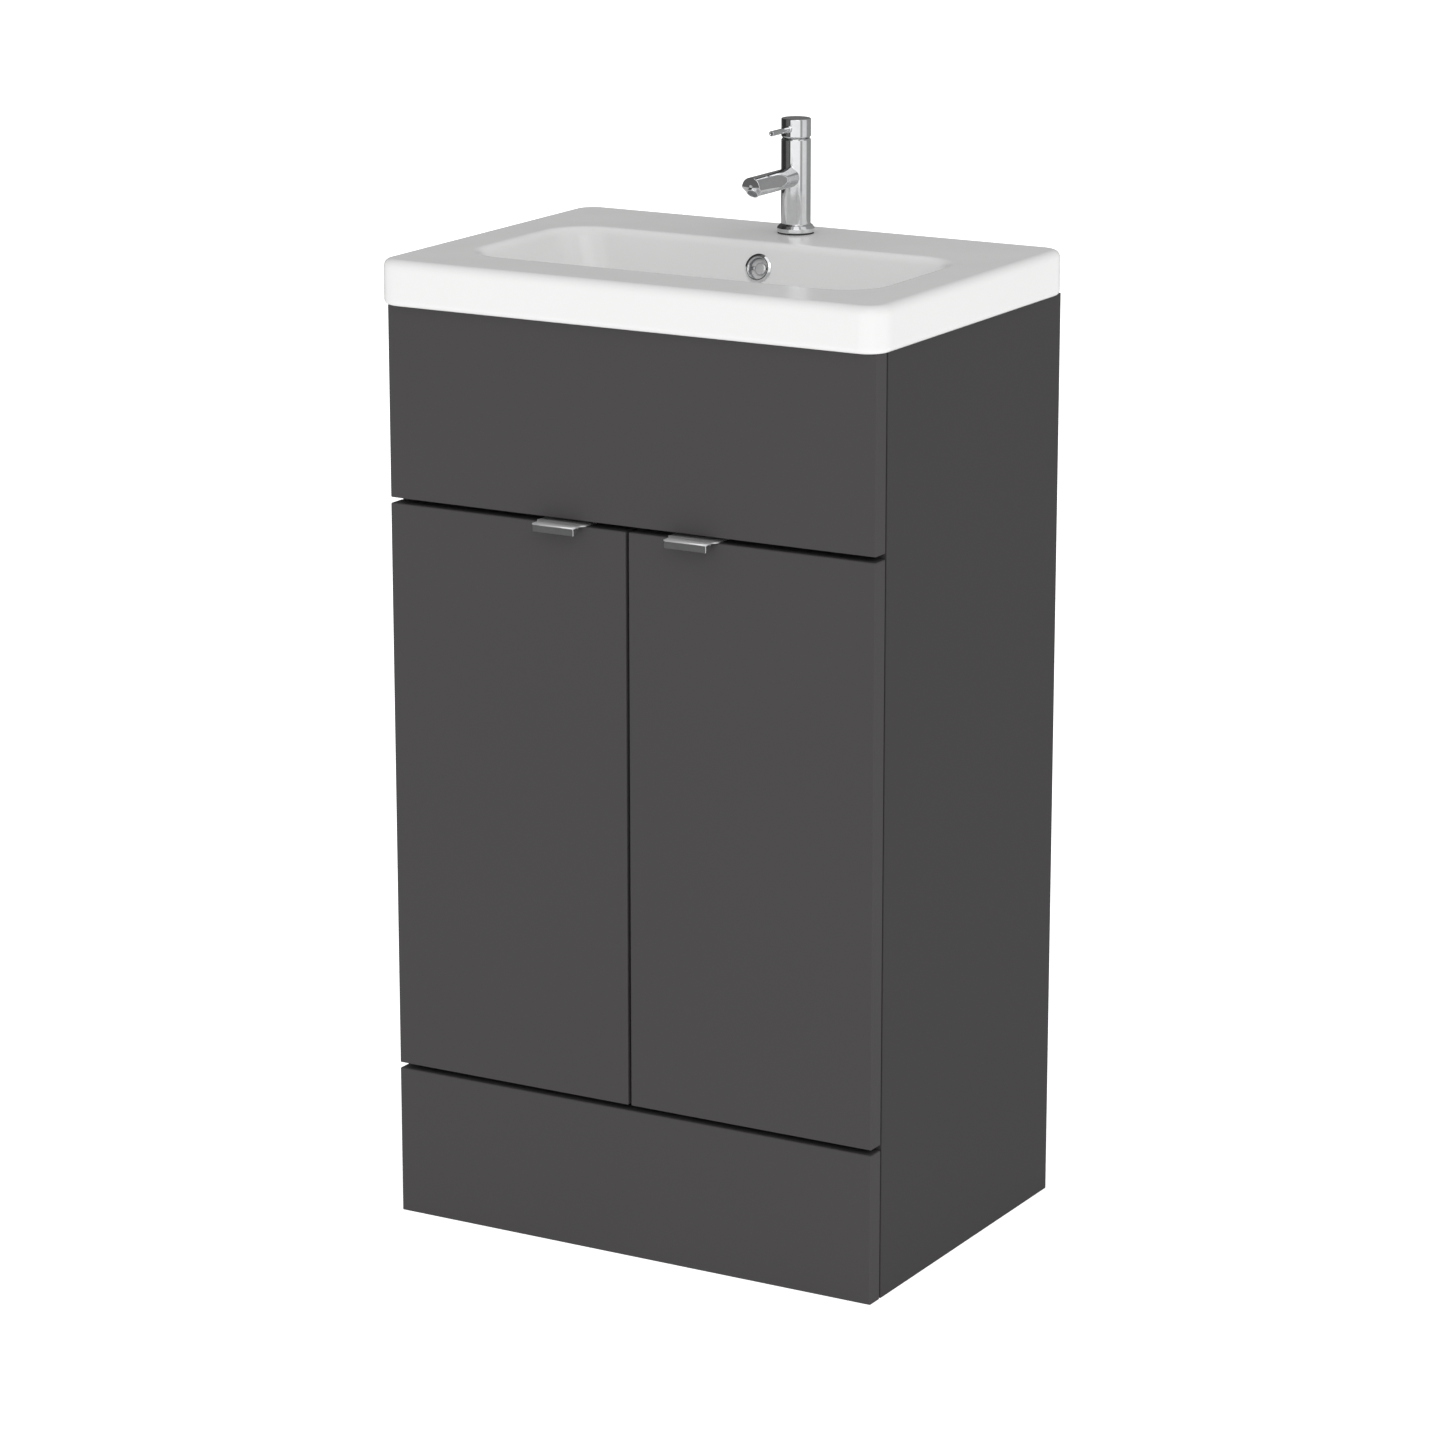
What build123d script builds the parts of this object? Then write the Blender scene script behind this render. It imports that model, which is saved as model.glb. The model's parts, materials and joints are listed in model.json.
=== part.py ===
"""Bathroom vanity: a two-door base cabinet with a ceramic basin, a mixer tap and its waste.

Millimetres, +Z up. The origin is on the floor, in the middle of the footprint. -Y is the front, +Y the wall.
"""

import os
from math import atan2, degrees

from build123d import *

# ---------------------------------------------------------------- driving dimensions
WIDTH = 500  # over the side panels
DEPTH = 355  # from the front panels' face to the wall
HEIGHT = 864  # floor to the top of the side panels
PULL_REACH = 15  # how far a door pull stands out of the front

BOARD = 18  # thickness of the panels
FRONT_GAP = 2  # between the front panels and the carcass
PLINTH_TOP = 141
ROW_GAP = 5  # between the plinth, the doors and the top panel
DOOR_TOP = 681.5
DOOR_GAP = 3  # between the two doors
EDGE = 1.2  # rounding of the front panels' edges

BASIN_WIDTH = 514
BASIN_DEPTH = 365
BASIN_HEIGHT = 42
BASIN_WALL = 12

TAP_SET_BACK = 307  # front face to the tap's axis
TAP_RADIUS = 13.75
TAP_REACH = 85

PIPE_RADIUS = 16
CLEAR = 0.1  # radial play of a pin in its hole
FIT = 0.03  # radial gap of a part that is fixed in its hole

# ---------------------------------------------------------------- planes and levels worked out from them
FRONT = -(DEPTH + PULL_REACH) / 2 + PULL_REACH  # y of the front panels' face
BACK = FRONT + DEPTH  # y of the wall
CARCASS = FRONT + BOARD + FRONT_GAP  # y of the carcass's front edges
HALF = WIDTH / 2
INSIDE = HALF - BOARD  # half the width between the side panels
DOOR_BOTTOM = PLINTH_TOP + ROW_GAP
BASE_TOP = PLINTH_TOP + 13  # top of the base board, whose edge closes the lower gap
RAIL_Y = (BACK - BOARD, BACK)  # fixing rail against the wall
BACK_PANEL_Y = (RAIL_Y[0] - 5, RAIL_Y[0])
BASIN_TOP = HEIGHT + BASIN_HEIGHT
DECK_UNDER = BASIN_TOP - 14
SIDES = ((-1, "left"), (1, "right"))
WALLWARD = (0, 1, 0)
FRONTWARD = (0, -1, 0)
UP = (0, 0, 1)
DOWN = (0, 0, -1)

os.makedirs("parts", exist_ok=True)


# ---------------------------------------------------------------- shared shapes
def save(piece, name):
    """Label a finished sub-part and write it as a STEP file."""
    piece.part.label = name
    export_step(piece.part, f"parts/{name}.step")


def board(x, y, z, mode=Mode.ADD):
    """A square-edged board between the limits (low, high) of x, y and z."""
    with BuildSketch(Plane.XY.offset(z[0])) as outline:
        with Locations(((x[0] + x[1]) / 2, (y[0] + y[1]) / 2)):
            Rectangle(x[1] - x[0], y[1] - y[0])
    extrude(outline.sketch, amount=z[1] - z[0], mode=mode)


def rods(starts, direction, radius, length, mode=Mode.ADD):
    """Round bars, or with Mode.SUBTRACT round holes, from each start along one direction."""
    with BuildSketch(*(Plane(origin=start, z_dir=direction) for start in starts)) as outline:
        Circle(radius)
    extrude(outline.sketch, amount=length, mode=mode)


def turned(points, axis_x, axis_y, mode=Mode.ADD):
    """A turned piece about a vertical axis, from its half profile of (radius, height) points."""
    profile = Plane(origin=(axis_x, axis_y, 0), x_dir=(1, 0, 0), z_dir=FRONTWARD)
    with BuildSketch(profile) as outline:
        with BuildLine():
            Polyline(*points, close=True)
        make_face()
    revolve(outline.sketch, axis=Axis((axis_x, axis_y, 0), UP), mode=mode)


def plate(points, z, mode=Mode.ADD):
    """A flat plate with a polygon outline in plan, between two heights."""
    with BuildSketch(Plane.XY.offset(z[0])) as outline:
        with BuildLine():
            Polyline(*points, close=True)
        make_face()
    extrude(outline.sketch, amount=z[1] - z[0], mode=mode)


def strap(start, end, width, z):
    """A flat link with round ends about two points in plan, between two heights."""
    span = Vector(*end) - Vector(*start)
    turn = degrees(atan2(span.Y, span.X))
    middle = (Vector(*start) + Vector(*end)) / 2
    with BuildSketch(Plane.XY.offset(z[0])) as outline:
        with Locations(Location((middle.X, middle.Y, 0), (0, 0, turn))):
            SlotCenterToCenter(span.length, width)
    extrude(outline.sketch, amount=z[1] - z[0])


def screw(head_at, direction, shank, length, head, head_height, drive=0):
    """A pan-head screw. head_at is under the head, and direction is the way it is driven in."""
    way = Vector(*direction)
    under = Vector(*head_at)
    rods([under], way, shank, length)
    rods([under], -way, head, head_height)
    if drive:
        top = under - way * head_height
        with BuildSketch(Plane(origin=top, z_dir=way)) as recess:
            Rectangle(head * 1.2, drive)
            Rectangle(drive, head * 1.2)
        extrude(recess.sketch, amount=head_height * 0.5, mode=Mode.SUBTRACT)


# ---------------------------------------------------------------- hinge layout
# A door turns about an upright line inside its own outer corner. Each concealed hinge has a cup in the door
# and an arm on the side panel. A crank on the arm turns with the door, and two straps join the crank to the
# cup: arm pin, crank pin, cup pin and door pivot are the corners of a parallelogram.
DOOR_PIVOT = (4.5, 8.5)  # in from the side face, back from the front face
ARM_PIN = (27, 27.4)
CUP_PIN = (20, 12.5)
CUP_IN = 22.5  # the cup's centre, in from the door's edge
CUP_RADIUS = 17.5
CUP_DEPTH = 11.5
HINGE_Z = (DOOR_BOTTOM + 90, DOOR_TOP - 90)
PLATE_SCREW_Y = FRONT + 57  # the mounting plate's screws
PLATE_STEPS = (-16, 16)  # their heights, from the hinge's middle
HINGE_PIN = 1.5


def plan(side, point):
    """Plan position of a point given as (in from the side face, back from the front face)."""
    return (side * (HALF - point[0]), FRONT + point[1])


CRANK_PIN = (ARM_PIN[0] + CUP_PIN[0] - DOOR_PIVOT[0], ARM_PIN[1] + CUP_PIN[1] - DOOR_PIVOT[1])

# ---------------------------------------------------------------- joints between the boards
BOLT_RADIUS = 3
SLEEVE_RADIUS = 3.5  # the thicker part of a bolt, inside the board's end
CAM_RADIUS = 7.4
CAM_IN = 24  # the cam's centre, in from the board's end
CAM_HEIGHT = 12
DOWEL_RADIUS = 4
DOWEL_LENGTH = 30

RAIL_Z = (HEIGHT - 90, HEIGHT)
STRETCHER_Z = (DOOR_TOP - 8, DOOR_TOP + 10)
STRETCHER_Y = (CARCASS + 4, CARCASS + 74)
FRONT_RAIL_Y = (CARCASS, CARCASS + BOARD)

# Each fitting is (y, z, way the cam's face looks): under the boards that lie flat, behind those that stand.
BASE_MID = BASE_TOP - BOARD / 2
RAIL_MID = (RAIL_Z[0] + RAIL_Z[1]) / 2
FITTINGS = (
    (CARCASS + 50, BASE_MID, DOWN),
    (BACK - 60, BASE_MID, DOWN),
    (STRETCHER_Y[0] + 45, (STRETCHER_Z[0] + STRETCHER_Z[1]) / 2, DOWN),
    (FRONT_RAIL_Y[0] + BOARD / 2, RAIL_MID + 15, WALLWARD),
    (RAIL_Y[0] + BOARD / 2, RAIL_MID + 15, FRONTWARD),
)
DOWELS = (
    (CARCASS + 90, BASE_MID),
    (BACK - 100, BASE_MID),
    (STRETCHER_Y[0] + 18, (STRETCHER_Z[0] + STRETCHER_Z[1]) / 2),
    (FRONT_RAIL_Y[0] + BOARD / 2, RAIL_MID - 20),
    (RAIL_Y[0] + BOARD / 2, RAIL_MID - 20),
)


def fitting_holes(y, z):
    """Sockets for the cams, bolts and dowels whose places lie inside the given limits of y and z."""
    for side, _ in SIDES:
        for at_y, at_z, face in FITTINGS:
            if y[0] <= at_y <= y[1] and z[0] <= at_z <= z[1]:
                mouth = (side * INSIDE, at_y, at_z)
                rods([mouth], (-side, 0, 0), SLEEVE_RADIUS + CLEAR, CAM_IN, Mode.SUBTRACT)
                way = Vector(*face)
                surface = Vector(side * (INSIDE - CAM_IN), at_y, at_z) + way * BOARD / 2
                rods([surface], -way, CAM_RADIUS + CLEAR, CAM_HEIGHT + 1, Mode.SUBTRACT)
        for at_y, at_z in DOWELS:
            if y[0] <= at_y <= y[1] and z[0] <= at_z <= z[1]:
                rods([(side * INSIDE, at_y, at_z)], (-side, 0, 0), DOWEL_RADIUS + CLEAR, 21, Mode.SUBTRACT)


# ---------------------------------------------------------------- side panels
SHELF_Z = (372, 388)
PIN_RADIUS = 2.5
PIN_ROWS = (CARCASS + 50, BACK - 70)
PIN_PITCH = 32
PIN_STEPS = range(-3, 4)
GROOVE = 6

for side, name in SIDES:
    inner = side * INSIDE
    outward = (side, 0, 0)
    with BuildPart() as side_panel:
        board(sorted((inner, side * HALF)), (CARCASS, BACK), (0, HEIGHT))
        chamfer(side_panel.edges().filter_by(Axis.Z), 0.5)
        # groove for the back panel
        groove_x = sorted((inner, inner + side * (GROOVE + 0.5)))
        board(groove_x, (BACK_PANEL_Y[0] - CLEAR, BACK_PANEL_Y[1]), (BASE_TOP, RAIL_Z[0] + 16), Mode.SUBTRACT)
        # rows of shelf pin holes
        pin_holes = [(inner, y, SHELF_Z[0] - PIN_RADIUS + PIN_PITCH * n) for y in PIN_ROWS for n in PIN_STEPS]
        rods(pin_holes, outward, PIN_RADIUS + CLEAR / 2, 9, Mode.SUBTRACT)
        # bolts and dowels
        rods([(inner, y, z) for y, z, _ in FITTINGS], outward, BOLT_RADIUS, 12, Mode.SUBTRACT)
        rods([(inner, y, z) for y, z in DOWELS], outward, DOWEL_RADIUS + CLEAR, 11, Mode.SUBTRACT)
        # mounting plate screws
        plate_holes = [(inner, PLATE_SCREW_Y, z + step) for z in HINGE_Z for step in PLATE_STEPS]
        rods(plate_holes, outward, 2.5, 13, Mode.SUBTRACT)
    save(side_panel, f"side_panel_{name}")

# ---------------------------------------------------------------- carcass boards
ACROSS = (-INSIDE, INSIDE)

with BuildPart() as base_panel:
    board(ACROSS, (CARCASS, BACK), (BASE_TOP - BOARD, BASE_TOP))
    fitting_holes((CARCASS, BACK), (BASE_TOP - BOARD, BASE_TOP))
save(base_panel, "base_panel")

with BuildPart() as stretcher:
    board(ACROSS, STRETCHER_Y, STRETCHER_Z)
    fitting_holes(STRETCHER_Y, STRETCHER_Z)
save(stretcher, "stretcher")

with BuildPart() as front_rail:
    board(ACROSS, FRONT_RAIL_Y, RAIL_Z)
    fitting_holes(FRONT_RAIL_Y, RAIL_Z)
save(front_rail, "front_rail")

WALL_SCREW_X = 180
WALL_SCREW_Z = 838
with BuildPart() as wall_rail:
    board(ACROSS, RAIL_Y, RAIL_Z)
    fitting_holes(RAIL_Y, RAIL_Z)
    wall_holes = [(side * WALL_SCREW_X, RAIL_Y[0], WALL_SCREW_Z) for side, _ in SIDES]
    rods(wall_holes, WALLWARD, 4, BOARD, Mode.SUBTRACT)
save(wall_rail, "wall_rail")

CUTOUT_X = 120
CUTOUT_Z = (430, 690)
with BuildPart() as back_panel:
    board((-INSIDE - GROOVE, INSIDE + GROOVE), BACK_PANEL_Y, (BASE_TOP, RAIL_Z[0] + 16))
    with BuildSketch(Plane(origin=(0, BACK_PANEL_Y[1], 0), x_dir=(1, 0, 0), z_dir=FRONTWARD)):
        with Locations((0, sum(CUTOUT_Z) / 2)):
            RectangleRounded(2 * CUTOUT_X, CUTOUT_Z[1] - CUTOUT_Z[0], 12)
    extrude(amount=BACK_PANEL_Y[1] - BACK_PANEL_Y[0], mode=Mode.SUBTRACT)
save(back_panel, "back_panel")

with BuildPart() as shelf:
    board((-INSIDE + 1, INSIDE - 1), (CARCASS + 22, BACK_PANEL_Y[0] - 2), SHELF_Z)
    fillet(shelf.edges().filter_by(Axis.X).group_by(Axis.Y)[0], 1)
save(shelf, "shelf")

with BuildPart() as shelf_pins:
    for side, _ in SIDES:
        for y in PIN_ROWS:
            start = (side * (INSIDE + 8), y, SHELF_Z[0] - PIN_RADIUS)
            rods([start], (-side, 0, 0), PIN_RADIUS, 17)
            rods([(side * (INSIDE - 0.1), y, SHELF_Z[0] - PIN_RADIUS)], (-side, 0, 0), 3.6, 1.5)
    # flats that the shelf lies on
    board(ACROSS, (CARCASS, BACK), (SHELF_Z[0], SHELF_Z[0] + 5), Mode.SUBTRACT)
save(shelf_pins, "shelf_pins")

# ---------------------------------------------------------------- cams, bolts and dowels
with BuildPart() as cam_locks:
    for side, _ in SIDES:
        for y, z, face in FITTINGS:
            way = Vector(*face)
            centre = Vector(side * (INSIDE - CAM_IN), y, z)
            outer_face = centre + way * (BOARD / 2)
            rods([outer_face], -way, CAM_RADIUS, CAM_HEIGHT)
            with BuildSketch(Plane(origin=outer_face, z_dir=-way)):
                Rectangle(9, 1.6)
                Rectangle(1.6, 9)
            extrude(amount=3, mode=Mode.SUBTRACT)
            rods([centre], (side, 0, 0), BOLT_RADIUS + 0.5, CAM_RADIUS, Mode.SUBTRACT)
save(cam_locks, "cam_locks")

with BuildPart() as cam_bolts:
    for side, _ in SIDES:
        for y, z, _ in FITTINGS:
            rods([(side * (INSIDE + 11), y, z)], (-side, 0, 0), BOLT_RADIUS, CAM_IN + 10)
            rods([(side * INSIDE, y, z)], (-side, 0, 0), SLEEVE_RADIUS, 12)
save(cam_bolts, "cam_bolts")

with BuildPart() as dowels:
    for side, _ in SIDES:
        rods([(side * (INSIDE + 10), y, z) for y, z in DOWELS], (-side, 0, 0), DOWEL_RADIUS, DOWEL_LENGTH)
    chamfer(dowels.edges().filter_by(GeomType.CIRCLE), 0.8)
save(dowels, "dowels")


# ---------------------------------------------------------------- fixed front panels
FRONT_Y = (FRONT, FRONT + BOARD)

with BuildPart() as top_front_panel:
    board((-HALF, HALF), FRONT_Y, (DOOR_TOP + ROW_GAP, HEIGHT))
    fillet(top_front_panel.edges(), EDGE)
save(top_front_panel, "top_front_panel")

with BuildPart() as plinth_panel:
    board((-HALF, HALF), FRONT_Y, (0, PLINTH_TOP))
    fillet(plinth_panel.edges().group_by(Axis.Z)[1:], EDGE)
save(plinth_panel, "plinth_panel")

# spacers between the fixed panels and the side panels' edges, and the angle brackets inside the corners
BRACKET_Z = (38, 104, 712, 744)
BRACKET_THICK = 2
BRACKET_LEG = 26
BRACKET_WIDE = 16
BRACKET_HOLE = 16  # the holes' distance from the inside corner
with BuildPart() as front_spacers:
    for side, _ in SIDES:
        rods([(side * (HALF - 9), FRONT + BOARD, z) for z in BRACKET_Z], WALLWARD, 6, FRONT_GAP)
save(front_spacers, "front_spacers")

with BuildPart() as corner_brackets:
    for side, _ in SIDES:
        for z in BRACKET_Z:
            band = (z - BRACKET_WIDE / 2, z + BRACKET_WIDE / 2)
            flat_x = sorted((side * INSIDE, side * (INSIDE - BRACKET_LEG)))
            board(flat_x, (FRONT + BOARD, FRONT + BOARD + BRACKET_THICK), band)
            upright_x = sorted((side * INSIDE, side * (INSIDE - BRACKET_THICK)))
            board(upright_x, (FRONT + BOARD, FRONT + BOARD + BRACKET_LEG), band)
            hole = (side * (INSIDE - 16), FRONT + BOARD, z)
            rods([hole], WALLWARD, 2, BRACKET_THICK, Mode.SUBTRACT)
            hole = (side * INSIDE, FRONT + BOARD + BRACKET_HOLE, z)
            rods([hole], (-side, 0, 0), 2, BRACKET_THICK, Mode.SUBTRACT)
save(corner_brackets, "corner_brackets")

with BuildPart() as bracket_screws:
    for side, _ in SIDES:
        for z in BRACKET_Z:
            over_front = (side * (INSIDE - BRACKET_HOLE), FRONT + BOARD + BRACKET_THICK, z)
            screw(over_front, FRONTWARD, 1.9, BRACKET_THICK, 3.6, 1.8, 0.8)
            over_side = (side * (INSIDE - BRACKET_THICK), FRONT + BOARD + BRACKET_HOLE, z)
            screw(over_side, (side, 0, 0), 1.9, BRACKET_THICK, 3.6, 1.8, 0.8)
save(bracket_screws, "bracket_screws")

# ---------------------------------------------------------------- doors, pulls and bumpers
PULL_X = 68  # the pull's middle, from the cabinet's middle
PULL_WIDTH = 43
PULL_FLARE = 51
PULL_PLATE = 1.6
LIP_THICK = 9.5
LIP_DROP = 6.5
PULL_TAIL = 20  # how far the rear leg reaches down the door's back
PULL_SCREW_Z = DOOR_TOP - 12

for side, name in SIDES:
    edge_x = side * HALF
    meet_x = side * DOOR_GAP / 2
    cup_x = side * (HALF - CUP_IN)
    back_face = FRONT + BOARD
    screw_x = [side * PULL_X - 16, side * PULL_X + 16]

    with BuildPart() as door:
        board(sorted((edge_x, meet_x)), FRONT_Y, (DOOR_BOTTOM, DOOR_TOP))
        fillet(door.edges(), EDGE)
        cups = [(cup_x, back_face, z) for z in HINGE_Z]
        rods(cups, FRONTWARD, CUP_RADIUS, CUP_DEPTH, Mode.SUBTRACT)
        rods([(x, back_face, PULL_SCREW_Z) for x in screw_x], FRONTWARD, 1.5, 11, Mode.SUBTRACT)
    save(door, f"door_{name}")

    with BuildPart() as pull:
        # lip, plate and rear leg as one bent section, with the lip's lower rear corner cut away
        lip_front = FRONT - PULL_REACH
        top = DOOR_TOP + PULL_PLATE
        pull_end = side * PULL_X - PULL_FLARE / 2
        with BuildSketch(Plane(origin=(pull_end, 0, 0), x_dir=WALLWARD, z_dir=(1, 0, 0))):
            with BuildLine():
                Polyline(
                    (lip_front, top - LIP_DROP - PULL_PLATE),
                    (lip_front + LIP_THICK - 2.5, top - LIP_DROP - PULL_PLATE),
                    (lip_front + LIP_THICK, top - LIP_DROP + 1),
                    (lip_front + LIP_THICK, DOOR_TOP),
                    (back_face, DOOR_TOP),
                    (back_face, DOOR_TOP - PULL_TAIL),
                    (back_face + PULL_PLATE - 0.2, DOOR_TOP - PULL_TAIL),
                    (back_face + PULL_PLATE - 0.2, top),
                    (lip_front, top),
                    close=True,
                )
            make_face()
        extrude(amount=PULL_FLARE)
        # the plan outline: narrow at the lip, flaring to full width over the door
        for end in (-1, 1):
            middle = side * PULL_X
            corner = [
                (middle + end * PULL_WIDTH / 2, lip_front - 1),
                (middle + end * PULL_WIDTH / 2, FRONT - 5),
                (middle + end * PULL_FLARE / 2, FRONT),
                (middle + end * (PULL_FLARE / 2 + 1), FRONT),
                (middle + end * (PULL_FLARE / 2 + 1), lip_front - 1),
            ]
            plate(corner, (DOOR_TOP - 15, top + 1), Mode.SUBTRACT)
        lip_ends = pull.edges().filter_by(Axis.Z).group_by(Axis.Y)[0]
        fillet(lip_ends, 1.2)
        fillet(pull.edges().filter_by(Axis.X).group_by(Axis.Y)[0].sort_by(Axis.Z)[-1], 0.8)
        pull_holes = [(x, back_face, PULL_SCREW_Z) for x in screw_x]
        rods(pull_holes, WALLWARD, 1.6, PULL_PLATE, Mode.SUBTRACT)
    save(pull, f"pull_{name}")

    with BuildPart() as pull_screws:
        for x in screw_x:
            screw((x, back_face + PULL_PLATE - 0.2, PULL_SCREW_Z), FRONTWARD, 1.5, 11, 3, 1.2, 0.7)
    save(pull_screws, f"pull_screws_{name}")

# soft stops on the base board's and the stretcher's front edges, where the doors meet
BUMPER_X = 20
BUMPER_RADIUS = 3
BUMPER_PLAY = 0.3  # between a bumper and the closed door
BUMPER_SEATS = ((CARCASS, BASE_TOP - 4), (STRETCHER_Y[0], DOOR_TOP - 4.5))  # the edge's y, the bumper's z
with BuildPart() as door_bumpers:
    for side, _ in SIDES:
        for seat_y, seat_z in BUMPER_SEATS:
            reach = seat_y - (FRONT + BOARD) - BUMPER_PLAY
            rods([(side * BUMPER_X, seat_y, seat_z)], FRONTWARD, BUMPER_RADIUS, reach)
    chamfer(door_bumpers.edges().filter_by(GeomType.CIRCLE).group_by(Axis.Y)[0], 0.6)
save(door_bumpers, "door_bumpers")

# ---------------------------------------------------------------- concealed hinges
CRANK_Z = (-3.5, 3.5)
STRAP_Z = (4, 6)
CHEEK_Z = (6.5, 8)
LUG_Z = (7, 9)
PLATE_TOP = 4  # the mounting plate's ridge, in from the side panel
ARM_TOP = 15.5  # the arm's outer face, in from the side panel

for side, name in SIDES:
    arm_pin = plan(side, ARM_PIN)
    cup_pin = plan(side, CUP_PIN)
    crank_pin = plan(side, CRANK_PIN)
    cup_centre = plan(side, (CUP_IN, BOARD))

    with BuildPart() as hinge_cups:
        for z in HINGE_Z:
            rods([(*cup_centre, z)], FRONTWARD, CUP_RADIUS - CLEAR / 2, CUP_DEPTH)
            # flange on the door's back, with an ear above and below
            with BuildSketch(Plane(origin=(*cup_centre, z), x_dir=(1, 0, 0), z_dir=(0, 1, 0))):
                Circle(CUP_RADIUS + 1)
                Rectangle(22, 62)
            extrude(amount=1)
            hollow = (cup_centre[0], cup_centre[1] + 1, z)
            rods([hollow], FRONTWARD, CUP_RADIUS - 1.5, CUP_DEPTH, Mode.SUBTRACT)
            ears = [(cup_centre[0], cup_centre[1] - 1, z + step) for step in (-26, 26)]
            rods(ears, WALLWARD, 2.2, 3, Mode.SUBTRACT)
            # lugs in the cup that hold the cup pin
            for face in (1, -1):
                lug_z = sorted((z + face * LUG_Z[0], z + face * LUG_Z[1]))
                lug_x = sorted((cup_pin[0] - 4, cup_pin[0] + 4))
                board(lug_x, (FRONT + BOARD - CUP_DEPTH + 1, cup_pin[1] + 3.5), lug_z)
            rods([(*cup_pin, z - 12)], UP, HINGE_PIN + CLEAR, 24, Mode.SUBTRACT)
    save(hinge_cups, f"hinge_cups_{name}")

    with BuildPart() as cup_screws:
        for z in HINGE_Z:
            for step in (-26, 26):
                screw((cup_centre[0], cup_centre[1] + 1, z + step), FRONTWARD, 2, 1, 3.2, 0.6)
    save(cup_screws, f"cup_screws_{name}")

    with BuildPart() as hinge_cranks:
        for z in HINGE_Z:
            strap(arm_pin, crank_pin, 7, (z + CRANK_Z[0], z + CRANK_Z[1]))
            rods([(*crank_pin, z - 5)], UP, HINGE_PIN + CLEAR, 10, Mode.SUBTRACT)
            rods([(*arm_pin, z - CHEEK_Z[1])], UP, HINGE_PIN, 2 * CHEEK_Z[1])
    save(hinge_cranks, f"hinge_cranks_{name}")

    with BuildPart() as hinge_straps:
        for z in HINGE_Z:
            for face in (1, -1):
                low, high = sorted((z + face * STRAP_Z[0], z + face * STRAP_Z[1]))
                strap(crank_pin, cup_pin, 5, (low, high))
            rods([(*crank_pin, z - STRAP_Z[1])], UP, HINGE_PIN, 2 * STRAP_Z[1])
            rods([(*cup_pin, z - LUG_Z[1])], UP, HINGE_PIN, 2 * LUG_Z[1])
    save(hinge_straps, f"hinge_straps_{name}")

with BuildPart() as hinge_arms:
    arm_y = (FRONT + ARM_PIN[1] + 6, FRONT + 92)
    for side, _ in SIDES:
        arm_pin = plan(side, ARM_PIN)
        outer = side * (INSIDE - ARM_TOP)
        for z in HINGE_Z:
            for face in (1, -1):
                cheek = sorted((z + face * CHEEK_Z[0], z + face * CHEEK_Z[1]))
                board(sorted((side * (INSIDE - PLATE_TOP - 0.5), outer)), arm_y, cheek)
                strap(arm_pin, (arm_pin[0], arm_pin[1] + 10), 9, cheek)
            web_x = sorted((outer, outer + side * 1.5))
            board(web_x, (FRONT + 46, arm_y[1]), (z - CHEEK_Z[1], z + CHEEK_Z[1]))
            rods([(*arm_pin, z - 10)], UP, HINGE_PIN + CLEAR, 20, Mode.SUBTRACT)
save(hinge_arms, "hinge_arms")

PLATE_THICK = 2
with BuildPart() as hinge_plates:
    for side, _ in SIDES:
        inner = side * INSIDE
        for z in HINGE_Z:
            plate_x = sorted((inner, inner - side * PLATE_THICK))
            board(plate_x, (PLATE_SCREW_Y - 7, PLATE_SCREW_Y + 7), (z - 24, z + 24))
            ridge_x = sorted((inner, inner - side * PLATE_TOP))
            board(ridge_x, (FRONT + 40, FRONT + 90), (z - 6, z + 6))
            neck_x = sorted((inner - side * PLATE_TOP, inner - side * (ARM_TOP - 1.5)))
            board(neck_x, (PLATE_SCREW_Y + 14, PLATE_SCREW_Y + 26), (z - 4, z + 4))
            for step in PLATE_STEPS:
                rods([(inner, PLATE_SCREW_Y, z + step)], (-side, 0, 0), 2.5, PLATE_THICK, Mode.SUBTRACT)
save(hinge_plates, "hinge_plates")

with BuildPart() as plate_screws:
    for side, _ in SIDES:
        for z in HINGE_Z:
            for step in PLATE_STEPS:
                head_at = (side * (INSIDE - PLATE_THICK), PLATE_SCREW_Y, z + step)
                screw(head_at, (side, 0, 0), 2.4, 14, 4, 1.8, 0.9)
save(plate_screws, "plate_screws")

# ---------------------------------------------------------------- basin
BASIN_FRONT = BACK - BASIN_DEPTH
BASIN_Y = (BASIN_FRONT + BACK) / 2
BOWL_Y = FRONT + 150.5  # middle of the bowl's mouth
MOUTH = (410, 185, 40)  # width, depth, corner radius at the rim
FLOOR = (316, 122, 42)  # the same at the bowl's floor
FLOOR_Z = 796
BOWL_WALL = 10
WASTE_Y = BOWL_Y - 4
WASTE_HOLE = 22.5
BOSS_BOTTOM = 772
OVERFLOW_Z = 883
OVERFLOW_RADIUS = 11
BASIN_CORNER = 22  # plan corner of the basin
HOLLOW_CORNER = 12  # plan corner of the hollow underside
DECK_EDGE = 8  # soft edge between deck and fascia
FOOT_EDGE = 5
LIP_EDGE = 7  # soft lip round the bowl's mouth
HEEL = 26  # inside corner between bowl wall and floor
SHELL_HEEL = 22
BOSS_RADIUS = 36
DUCT_HALF = 26
DUCT_WALL = 7
CHANNEL_HALF = 16
CHANNEL_BASE = 6
CHANNEL_TALL = 8
TAP_Y = FRONT + TAP_SET_BACK
TAP_HOLE = 15

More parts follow.
